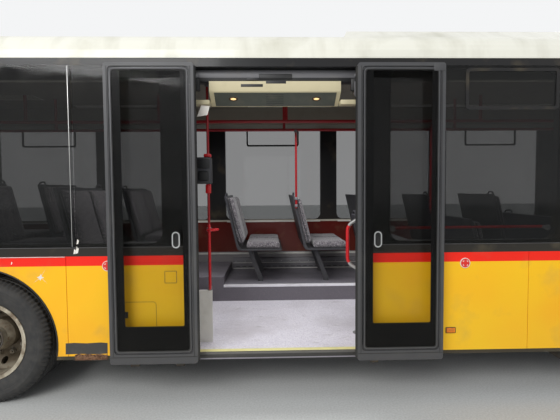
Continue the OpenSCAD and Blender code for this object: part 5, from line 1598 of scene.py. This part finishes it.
# %% Lamps and plate of the nose
NOSE_LAMPS = (("fog_lamp", 770, 505, 50), ("main_beam", 830, 745, 62),
              ("dipped_beam", 985, 745, 62))  # name, Y, Z and radius
for name, y, z, r in NOSE_LAMPS:
    for side, side_name in ((-1, "right"), (1, "left")):
        lamp = on_nose(side * y, z, 0)
        form = bmesh.new()
        turned(form, [(-6, r - 8), (-6, r), (4, r), (6, r - 4), (4, r - 8)], lamp, "x", 32)
        placed(form, f"{name}_ring_{side_name}", chrome)
        form = bmesh.new()
        turned(form, [(-4, 0), (-4, r - 9), (1, r - 9), (7, r - 24), (9, 0)], lamp, "x", 32)
        placed(form, f"{name}_glass_{side_name}", clear_lens)
form = bmesh.new()
for side in (-1, 1):
    strip(form, straight(side * 1062, 680, side * 1062, 812, 6), 34, 2)
placed(form, "front_indicators", amber_lens)
for name, half_w, half_h, out, look in (("front_plate_rim", 262, 57, 4, black_plastic),
                                        ("front_blank_plate", 255, 50, 5.5, white_print)):
    form = bmesh.new()
    strip(form, straight(-half_w, 600, half_w, 600), half_h, out)
    placed(form, name, look)
print("lamps on the nose:", 2 * len(NOSE_LAMPS))

# %% [markdown]
# Mirrors hang from bent arms, one on each side. A shell is one rounded outline at five places
# along X, smaller and smaller towards its domed front, with silvered glass towards the driver.

# %% Mirrors
mirror_y, mirror_z, arm_x = 1400, 2075, 5500
SHELL_STEPS = ((5470, 0.97), (5474, 1.0), (5506, 1.0), (5522, 0.9), (5530, 0.68))
outline = rounded(1302, 1902, 1498, 2248, 44)
form, glass = bmesh.new(), bmesh.new()
for side in (-1, 1):
    tube(form, [(arm_x, side * y, z) for y, z in
                ((1118, 2292), (1330, 2292), (1375, 2288), (1396, 2272), (1400, 2236))], 14, 14)
    rings = [[form.verts.new((x, side * (mirror_y + (a - mirror_y) * scale),
                              mirror_z + (b - mirror_z) * scale)) for a, b in outline]
             for x, scale in SHELL_STEPS]
    for one, two in zip(rings, rings[1:]):
        for i in range(len(outline)):
            j = (i + 1) % len(outline)
            form.faces.new((one[i], one[j], two[j], two[i]))
    form.faces.new(rings[0][::-1])
    form.faces.new(rings[-1])
    push(glass, [(side * a, b) for a, b in rounded(1318, 1918, 1482, 2232, 34)], "x", 5468, 5471)
shells = placed(form, "mirror_shells", black_plastic)
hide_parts("mirrors")
placed(glass, "mirror_glass", chrome)
print("mirrors reach Y =", mirror_y + 98)

# %% [markdown]
# The tail has round lamps, one above another, in black rims. Their colour tells their use: red for
# stopping, amber for turning and clear for reversing.

# %% Tail lamps
tail_x, lamp_y = -5973, 1005
TAIL_LAMPS = (("stop_lamps", (625, 1015), red_lens), ("rear_indicators", (755,), amber_lens),
              ("reversing_lamps", (885,), clear_lens))
for name, heights, look in TAIL_LAMPS:
    form = bmesh.new()
    for side in (-1, 1):
        for z in heights:
            turned(form, [(3, 0), (3, 50), (-3, 50), (-8, 36), (-10, 0)],
                   (tail_x, side * lamp_y, z), "x", 28)
    placed(form, name, look)
form = bmesh.new()
for side in (-1, 1):
    for z in (625, 755, 885, 1015):
        turned(form, [(4, 51), (4, 57), (-6, 57), (-8, 54), (-6, 51)],
               (tail_x, side * lamp_y, z), "x", 28)
placed(form, "tail_lamp_rims", black_plastic)
print("tail lamps:", [name for name, heights, look in TAIL_LAMPS])

# %% [markdown]
# The engine lid lets air out between nine slats, and a catch with two screws holds its foot. Both
# move with the lid. Above it is a blank plate in its holder, and below it the tail pipe hangs in
# two straps.

# %% Engine lid, rear plate and tail pipe
form = bmesh.new()
for i in range(9):
    z = 560 + i * 46
    push(form, [(-5979, z), (-5974, z + 22), (-5974, z - 8)], "y", -560, 560)
placed(form, "lid_slats", seam_look, "engine_lid")
form = bmesh.new()
slab(form, (-5984, -60, 470), (-5974, 60, 492), 4)
for y in (-34, 34):
    tube(form, [(-5983, y, 481), (-5985, y, 481)], 5, 12)
placed(form, "lid_catch", grey_plastic, "engine_lid")

form = bmesh.new()
slab(form, (-5981, -262, 1196), (-5974, 262, 1310), 3)
placed(form, "rear_plate_holder", black_plastic)
form = bmesh.new()
slab(form, (-5983, -255, 1202), (-5980, 255, 1304), 1)
placed(form, "rear_blank_plate", white_print)

form = bmesh.new()
turned(form, [(-150, 34), (-150, 40), (150, 40), (150, 34)], (-5800, 930, 322), "x", 24)
placed(form, "tail_pipe", galvanised)
form = bmesh.new()
for x in (-5860, -5700):
    slab(form, (x, 905, 350), (x + 20, 955, 376), 2)
placed(form, "tail_pipe_straps", chassis_paint)
print("the tail is dressed")

# %% [markdown]
# The roof unit draws air through eight round fans. Each has a dark well and a guard of three wire
# rings and four crossing bars. Each hatch has a pull bar on top.

# %% Roof fans and hatch pulls
unit_z, fan_r = 2960, 196
fans, guards = bmesh.new(), bmesh.new()
for i in range(4):
    for side in (-1, 1):
        x, y = 602 + 600 * i, side * 245
        turned(fans, [(-4, 0), (-4, fan_r), (1.5, fan_r), (1.5, 0)], (x, y, unit_z), "z", 40)
        turned(guards, [(-2, 197), (-2, 206), (9, 206), (11, 201), (9, 197)], (x, y, unit_z),
               "z", 40)
        for r in (62, 108, 154):
            turned(guards, [(1, r), (1, r + 6), (6, r + 6), (6, r)], (x, y, unit_z), "z", 32)
        for a in range(4):
            turn = math.radians(45 * a)
            dx, dy = math.cos(turn), math.sin(turn)
            bar = [(x + end * fan_r * dx + edge * dy, y + end * fan_r * dy - edge * dx)
                   for end, edge in ((1, -4), (-1, -4), (-1, 4), (1, 4))]
            push(guards, bar, "z", 2960.5, 2965)
placed(fans, "fan_wells", black_plastic)
placed(guards, "fan_guards", grey_plastic)
for name, x, body in (("front", 3840, "roof_hatch_front"), ("rear", -3560, "roof_hatch_rear")):
    form = bmesh.new()
    tube(form, [(x, y, z) for y, z in ((-90, 2900), (-88, 2918), (-76, 2924), (76, 2924),
                                       (88, 2918), (90, 2900))], 8, 12)
    placed(form, f"hatch_pull_{name}", grey_plastic, body)
print("roof fans: 8, hatch pulls: 2")

# %% [markdown]
# The driver's seat gets its own two cushions, inflated like the passengers'. The dashboard gets an
# instrument hood with three blank dials, a row of switches, and pedals below.

# %% Driver's place
for name, low, high in (("driver_pan", (4553, 474, 764), (5048, 966, 864)),
                        ("driver_back", (4434, 484, 838), (4556, 956, 1506))):
    form = bmesh.new()
    slab(form, low, high, 26, 4)
    pad = inflated(name, form, cap=10, voxel=14, pressure=2.0, triangles=3600)
    pad.data.materials.append(seat_cloth)
    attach(pad, "vehicle")

form = bmesh.new()
slab(form, (5215, 560, 1078), (5330, 900, 1106), 8, 3)
push(form, [(5330, 1078), (5420, 1078), (5400, 1150), (5350, 1162), (5322, 1128)], "y", 540, 920)
placed(form, "instrument_hood", black_plastic)
form = bmesh.new()
for y, r in ((650, 46), (810, 46), (730, 24)):
    turned(form, [(-4, 0), (-4, r), (3, r), (3, 0)], (5326, y, 1112), "x", 28)
placed(form, "dials", white_print)
form = bmesh.new()
for i in range(9):
    slab(form, (5228, 572 + i * 36, 1104), (5250, 596 + i * 36, 1112), 2)
placed(form, "dashboard_switches", grey_plastic)
form = bmesh.new()
for y in (640, 800):
    push(form, [(5560, 566), (5590, 566), (5640, 700), (5612, 706)], "y", y - 38, y + 38)
    tube(form, [(5604, y, 640), (5700, y, 690)], 9, 10)
placed(form, "pedals", rubber)
print("the driver's place is dressed")

# %% [markdown]
# The studio has a pale floor and an even overcast sky. The camera, mirrors and glass see a
# near-white backdrop through Light Path, while the object itself is lit at a plain level.

# %% Studio floor and sky
FLOOR_HALF = 40.0


def studio_floor():
    """A pale floor under the wheels, which belongs to the stage and not to the bus."""
    mesh = bpy.data.meshes.new("studio_floor")
    corners = [(-FLOOR_HALF, -FLOOR_HALF, 0), (FLOOR_HALF, -FLOOR_HALF, 0),
               (FLOOR_HALF, FLOOR_HALF, 0), (-FLOOR_HALF, FLOOR_HALF, 0)]
    mesh.from_pydata(corners, [], [(0, 1, 2, 3)])
    made = bpy.data.objects.new("studio_floor", mesh)
    bpy.context.scene.collection.objects.link(made)
    look, tree, shader, place = finish("pale studio floor", "#C9CAC8", 0.9)
    grit = blotches(tree, place, 14, 0.35, 0.7, 6.0)
    tree.links.new(tinted(tree, grit, linear("#BFC0BD"), linear("#CFD0CE")),
                   shader.inputs["Base Color"])
    mesh.materials.append(look)


def sky():
    """Plain light for the object, and a near-white backdrop for the camera, mirrors and glass."""
    world = bpy.data.worlds.new("overcast sky")
    world.use_nodes = True
    bpy.context.scene.world = world
    tree = world.node_tree
    tree.nodes.clear()
    path = add(tree, "ShaderNodeLightPath")
    seen = add(tree, "ShaderNodeMath", {0: path.outputs["Is Camera Ray"],
                                        1: path.outputs["Is Glossy Ray"]}, operation="MAXIMUM")
    seen = add(tree, "ShaderNodeMath", {0: seen.outputs[0],
                                        1: path.outputs["Is Transmission Ray"]},
               operation="MAXIMUM")
    lit = add(tree, "ShaderNodeBackground", {"Color": linear("#F2F5F9"), "Strength": 0.8})
    backdrop = add(tree, "ShaderNodeBackground", {"Color": linear("#F4F5F6"), "Strength": 1.0})
    both = add(tree, "ShaderNodeMixShader",
               {0: seen.outputs[0], 1: lit.outputs[0], 2: backdrop.outputs[0]})
    add(tree, "ShaderNodeOutputWorld", {"Surface": both.outputs[0]})


studio_floor()
sky()
print("the world is", bpy.context.scene.world.name)

# %% [markdown]
# A broad soft lamp stands on the camera's side, a weaker one on the far side, and a small one hangs
# in the saloon, because the doorway alone lets in too little light. Broad lamps cast soft shadows,
# as a bright overcast sky does.

# %% Lamps of the studio
def soft_lamp(name, place, target, size, watts, seen=True):
    """A broad lamp that looks at its target. One that isn't seen lights, but shows in no glass."""
    light = bpy.data.lights.new(name, "AREA")
    light.shape = "RECTANGLE"
    light.size, light.size_y = size
    light.energy = watts
    lamp = bpy.data.objects.new(name, light)
    lamp.location = place
    lamp.rotation_mode = "QUATERNION"
    lamp.rotation_quaternion = (Vector(target) - Vector(place)).to_track_quat("-Z", "Y")
    if not seen:
        lamp.visible_camera = lamp.visible_glossy = lamp.visible_transmission = False
    bpy.context.scene.collection.objects.link(lamp)


soft_lamp("key_lamp", (-5.0, -10.2, 6.8), (0.0, 0.0, 1.2), (7.0, 4.0), 780)
soft_lamp("far_lamp", (6.0, 10.0, 7.0), (0.0, 0.0, 1.5), (9.0, 5.0), 350)
soft_lamp("saloon_lamp", (-0.4, -0.3, 2.2), (-0.4, -0.3, 0.4), (2.6, 0.9), 26, seen=False)
bpy.context.scene.view_settings.view_transform = "Standard"
print("lamps:", len(bpy.data.lights))
